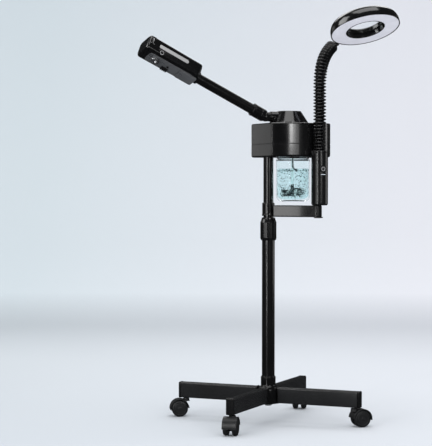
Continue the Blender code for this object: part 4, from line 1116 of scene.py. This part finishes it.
def spout():
    """The ribbed ring that turns, and the mouth inside it."""
    up = joint_axis("spout_ring_turn")
    side = up.orthogonal().normalized()
    at = axes_matrix(joint_place("spout_ring_turn"), side, up.cross(side), up)

    def ribs(angle, height):
        return 1 - 0.05 * (0.5 + 0.5 * cos(angle * 18)) if height < -0.001 else 1.0

    radius = local_radius("spout_ring", at)
    inner = radius - 0.0036
    profile = [(radius, 0.002 - 0.0008 * i) for i in range(9)]
    profile += [(radius - 0.001, -0.0055), (inner, -0.0055), (inner, 0.0035), (radius, 0.0035)]
    turned("spout_collar", profile, at, "spout_ring", "stainless_steel", "spout_ring", closed=True, soft=0.0003,
           sides=180, wobble=ribs)
    mouth = [(radius - 0.0040, -0.0030), (radius - 0.0075, 0.0008), (0.0010, 0.0016), (0, 0.0016)]
    turned("spout_mouth", mouth, at, "spout_ring", "stainless_steel", soft=0.0004, sides=64)


# ---------------------------------------------------------------- gooseneck and lamp

RIB_PITCH = 0.0080
GROOVE_RADIUS = 0.0100
RIB_RISE = 0.0060      # how far a rib's crest stands above the groove
RIBLESS_END = 0.019    # the length before the lamp's pivot that has no ribs


def neck_line():
    """The gooseneck's centre line: straight up from the post, then over to the lamp's pivot."""
    post = middle_of("lamp_post")[0]
    tip = joint_place("lamp_tilt")
    start = Vector((post.x, post.y, 0.835))
    rise = start + Vector((0, 0, 0.062))
    arrive = tip - Vector((0.80, 0.43, 0.42)).normalized() * 0.045
    line = [Vector((post.x, post.y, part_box("lamp_post_cap")[1].z)), start]
    for i in range(1, 101):
        t, left = i / 100, 1 - i / 100
        line.append(left ** 3 * start + 3 * left ** 2 * t * rise + 3 * left * t ** 2 * arrive + t ** 3 * tip)
    return line


def spaced(line, step):
    """Points at even steps along a line."""
    out, left = [line[0]], step
    for first, second in zip(line, line[1:]):
        length = (second - first).length
        while left <= length:
            out.append(first + (second - first) * (left / length))
            left += step
        left -= length
    return out


def gooseneck():
    """The ribbed neck in three lengths; only the top length rides on the upper neck, the two lower ones are fixed
    in place.
    """
    per_rib = 10
    points = spaced(neck_line(), RIB_PITCH / per_rib)
    radii = []
    for i in range(len(points)):
        phase = (i % per_rib) / per_rib
        radii.append(GROOVE_RADIUS + RIB_RISE * (0.5 - 0.5 * cos(2 * pi * phase)) ** 0.7)
    end = len(points) - int(RIBLESS_END / (RIB_PITCH / per_rib))
    base, middle = joint_place("neck_base_bend"), joint_place("neck_middle_bend")

    def index(height):
        return next(i for i, point in enumerate(points) if point.z >= height) // per_rib * per_rib

    past_base, past_middle = 0.045, 0.040
    low_split, high_split = index(base.z + past_base), index(middle.z + past_middle)
    lengths = (("neck_ribs_low", 0, low_split, ("head", "neck_lower", base)),
               ("neck_ribs_middle", low_split, high_split, ("neck_lower", "neck_upper", middle)),
               ("neck_ribs_high", high_split, end, None))
    for name, first, last, bend in lengths:
        piece = sweep(name, points[first:last + 1], radii[first:last + 1], 36)
        piece.data.materials.append(MATERIALS["neck_rubber"])
        if bend:
            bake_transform(piece)
        else:
            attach(piece, "neck_upper")
            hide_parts("gooseneck_upper")
    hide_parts("gooseneck_lower")
    tip = joint_place("lamp_tilt")
    along = (points[-1] - points[-8]).normalized()
    ferrule = [(0, 0.014), (0.0062, 0.014), (0.0066, 0.007), (0.0105, 0.002), (0.0132, -0.002),
               (0.0136, -0.008), (0.0128, -0.0095), (0, -0.0095)]
    turned("neck_ferrule", ferrule, aimed(points[end], along), "neck_upper", "satin_black", soft=0.0008,
           sides=64)
    ball = [(0.0084 * sin(pi * k / 20), 0.0084 * cos(pi * k / 20)) for k in range(21)]
    turned("neck_ball", ball, aimed(tip, along), "neck_upper", "satin_black", soft=0, sides=48)


def ring_lamp():
    """The shell, its white face, the lens in its hole and the web to its pivot."""
    low, deep = local_span("lamp_housing", LAMP, 2)
    outer, hole = 0.086, 0.046
    wall = 0.0024
    back = [((outer + hole) / 2 + 0.006, deep), (outer - 0.0100, deep - 0.0030),
            (outer - 0.0040, deep - 0.0095), (outer - 0.0006, deep - 0.0185)]
    rim = [(outer, low + 0.004), (outer, low), (outer - 0.0006, low - 0.0004), (outer - wall, low)]
    seat = [(outer - wall, low + 0.002), (hole + wall, low + 0.002), (hole + wall, low)]
    opening = [(hole, low), (hole, deep - 0.0045), (hole + 0.0018, deep - 0.0014), (hole + 0.0070, deep)]
    turned("lamp_shell", back + rim + seat + opening, LAMP, "lamp", "gloss_black", "lamp_housing", closed=True,
           soft=0.0030, sides=160)
    first, last = outer - 0.0026, hole + 0.0026
    face = [(first, -0.0016), (first, 0.0004), (last, 0.0004), (last, -0.0016)]
    turned("lamp_face", face, LAMP, "lamp", "opal_diffuser", "lamp_diffuser", closed=True, soft=0.0005,
           sides=160)
    magnifier(hole)
    lamp_web(outer)


def magnifier(hole):
    """The lens, thicker in its middle, and the ring that holds it."""
    radius, thick, rim = hole - 0.0006, 0.0035, 0.0012
    centre = sum(local_span("lamp_lens", LAMP, 2)) / 2
    crown = [(radius * k / 12, centre + thick - (thick - rim) * (k / 12) ** 2) for k in range(13)]
    under = [(x, 2 * centre - z) for x, z in reversed(crown)]
    turned("lamp_magnifier", crown + under, LAMP, "lamp", "lens_glass", "lamp_lens", soft=0, sides=128)
    ring = [(hole + 0.0004, centre + 0.003), (hole + 0.0004, centre - 0.003),
            (radius - 0.0016, centre - 0.0022), (radius - 0.0016, centre + 0.0022)]
    turned("lens_rim", ring, LAMP, "lamp", "satin_black", closed=True, soft=0.0004, sides=128)


def lamp_web(outer):
    """The web that joins the lamp's edge to the pivot and widens towards the lamp."""
    tip = joint_place("lamp_tilt")
    inward = LAMP @ Vector((0, 0, 0.006)) - tip
    reach, near = inward.length - outer + 0.004, 0.0092
    sections = []
    for k in range(9):
        share = k / 8
        outline = rounded_rectangle(0.012 + 0.010 * share ** 2, 0.0084 + 0.0036 * share, 0.003)
        sections.append([(x, y, near + (reach - near) * share) for x, y in outline])
    place(loft("lamp_web", sections, aimed(tip, inward)), "lamp", "grey_plastic")


# ---------------------------------------------------------------- stage, light and camera

def studio_sweep():
    """A pale floor that runs up into a wall behind the object with no edge between them."""
    near, far, bend, top, half_width = -7.0, 2.6, 1.6, 6.0, 9.0
    path = [(near, 0.0), (far, 0.0)]
    path += [(far + bend * sin(radians(a)), bend - bend * cos(radians(a))) for a in range(6, 91, 6)]
    path.append((far + bend, top))
    shape = bmesh.new()
    back = Vector((sin(radians(VIEW_TURN)), cos(radians(VIEW_TURN)), 0))
    side = Vector((back.y, -back.x, 0))
    rows = [[shape.verts.new(COLUMN + back * away + side * across + Vector((0, 0, height)))
             for away, height in path] for across in (-half_width, half_width)]
    for i in range(len(path) - 1):
        shape.faces.new((rows[0][i], rows[0][i + 1], rows[1][i + 1], rows[1][i]))
    sweep_obj = finish_mesh("studio_sweep", shape, None, 60)
    if sweep_obj.data.polygons[-1].normal.dot(back) > 0:
        sweep_obj.data.flip_normals()
    sweep_obj.data.materials.append(stage_material())
    sweep_obj.visible_glossy = False


def panel(name, place_at, target, size, radiance):
    """A lit rectangle that the camera doesn't see. The place and target are measured from the column's foot."""
    data = bpy.data.lights.new(name, "AREA")
    data.shape = "RECTANGLE"
    data.size, data.size_y = size
    data.energy = radiance * pi * size[0] * size[1]
    lamp = bpy.data.objects.new(name, data)
    bpy.context.scene.collection.objects.link(lamp)
    lamp.location = COLUMN + Vector(place_at)
    lamp.rotation_euler = (Vector(target) - Vector(place_at)).to_track_quat("-Z", "Y").to_euler()
    lamp.visible_camera = False
    return lamp


def softbox(name, bearing, distance, low, high, width, radiance):
    """An upright panel round the column. Bearings are degrees from -Y towards +X."""
    height = (low + high) / 2
    out = Vector((sin(radians(bearing)), -cos(radians(bearing)), 0)) * distance
    panel(name, (out.x, out.y, height), (0, 0, height), (width, high - low), radiance)


HEAD = (0, 0, 0.7)     # what the high panels are aimed at


def light():
    """Daylight all round for soft shadows, dark to reflections, and panels that the gloss picks up."""
    world = bpy.data.worlds.new("studio_air")
    world.use_nodes = True
    tree = world.node_tree
    background = tree.nodes["Background"]
    path = tree.nodes.new("ShaderNodeLightPath")
    strength = tree.nodes.new("ShaderNodeMapRange")
    strength.inputs["To Min"].default_value = 0.95
    strength.inputs["To Max"].default_value = 0.03
    tree.links.new(path.outputs["Is Glossy Ray"], strength.inputs["Value"])
    tree.links.new(strength.outputs["Result"], background.inputs["Strength"])
    background.inputs["Color"].default_value = (0.94, 0.97, 1.0, 1)
    scene = bpy.context.scene
    scene.world = world
    scene.view_settings.view_transform = "Standard"
    softbox("front_wide", 3, 2.35, 0.640, 1.60, 0.74, 1.9)
    softbox("front_panel", 1, 2.3, 0.748, 1.60, 0.42, 3.0)
    softbox("front_core", -1, 2.25, 0.748, 1.60, 0.20, 7.0)
    softbox("left_strip", -50, 2.2, 0.08, 1.60, 0.13, 17.0)
    softbox("left_panel", -68, 2.1, 0.36, 1.30, 0.42, 3.2)
    softbox("left_back_panel", -157, 2.3, 0.20, 1.40, 0.80, 0.36)
    softbox("right_panel", 80, 2.0, 0.20, 1.40, 0.95, 1.5)
    panel("overhead", (0, -0.3, 2.7), HEAD, (1.8, 1.4), 2.4)
    panel("back_top", (0.6, 1.7, 2.3), HEAD, (2.4, 1.1), 2.2)
    panel("edge_gloss", (-1.9, 0.6, 2.0), HEAD, (1.3, 1.3), 4.0).visible_diffuse = False


VIEW_TURN = 23         # the camera stands this many degrees round to the left of the front
VIEW_DISTANCE = 4.0
VIEW_HEIGHT = 0.605
VIEW_PAN = 1.876       # degrees that it looks to the left of the column
VIEW_TILT = -1.540     # degrees that it looks down
VIEW_LENS = 129.15
VIEW_SENSOR = 36.0


def camera():
    """The photo's view: nearly level, a long lens, and a little to the left of the front."""
    data = bpy.data.cameras.new("view_camera")
    data.sensor_width = VIEW_SENSOR
    data.lens = VIEW_LENS
    data.clip_start, data.clip_end = 0.05, 60
    ahead = Vector((sin(radians(VIEW_TURN)), cos(radians(VIEW_TURN)), 0))
    camera_obj = bpy.data.objects.new("view_camera", data)
    bpy.context.scene.collection.objects.link(camera_obj)
    camera_obj.location = COLUMN + Vector((0, 0, VIEW_HEIGHT)) - ahead * VIEW_DISTANCE
    look = Matrix.Rotation(radians(VIEW_PAN), 3, "Z") @ ahead
    look = look * cos(radians(VIEW_TILT)) + Vector((0, 0, sin(radians(VIEW_TILT))))
    camera_obj.rotation_euler = look.to_track_quat("-Z", "Y").to_euler()
    bpy.context.scene.camera = camera_obj


# ---------------------------------------------------------------- put together

finish_cad_nodes()
hub()
legs()
casters()
column()
bracket()
lamp_post()
housing()
dome()
inlet_pins()
boiler()
steam_arm()
nozzle()
gooseneck()
ring_lamp()
studio_sweep()
light()
camera()
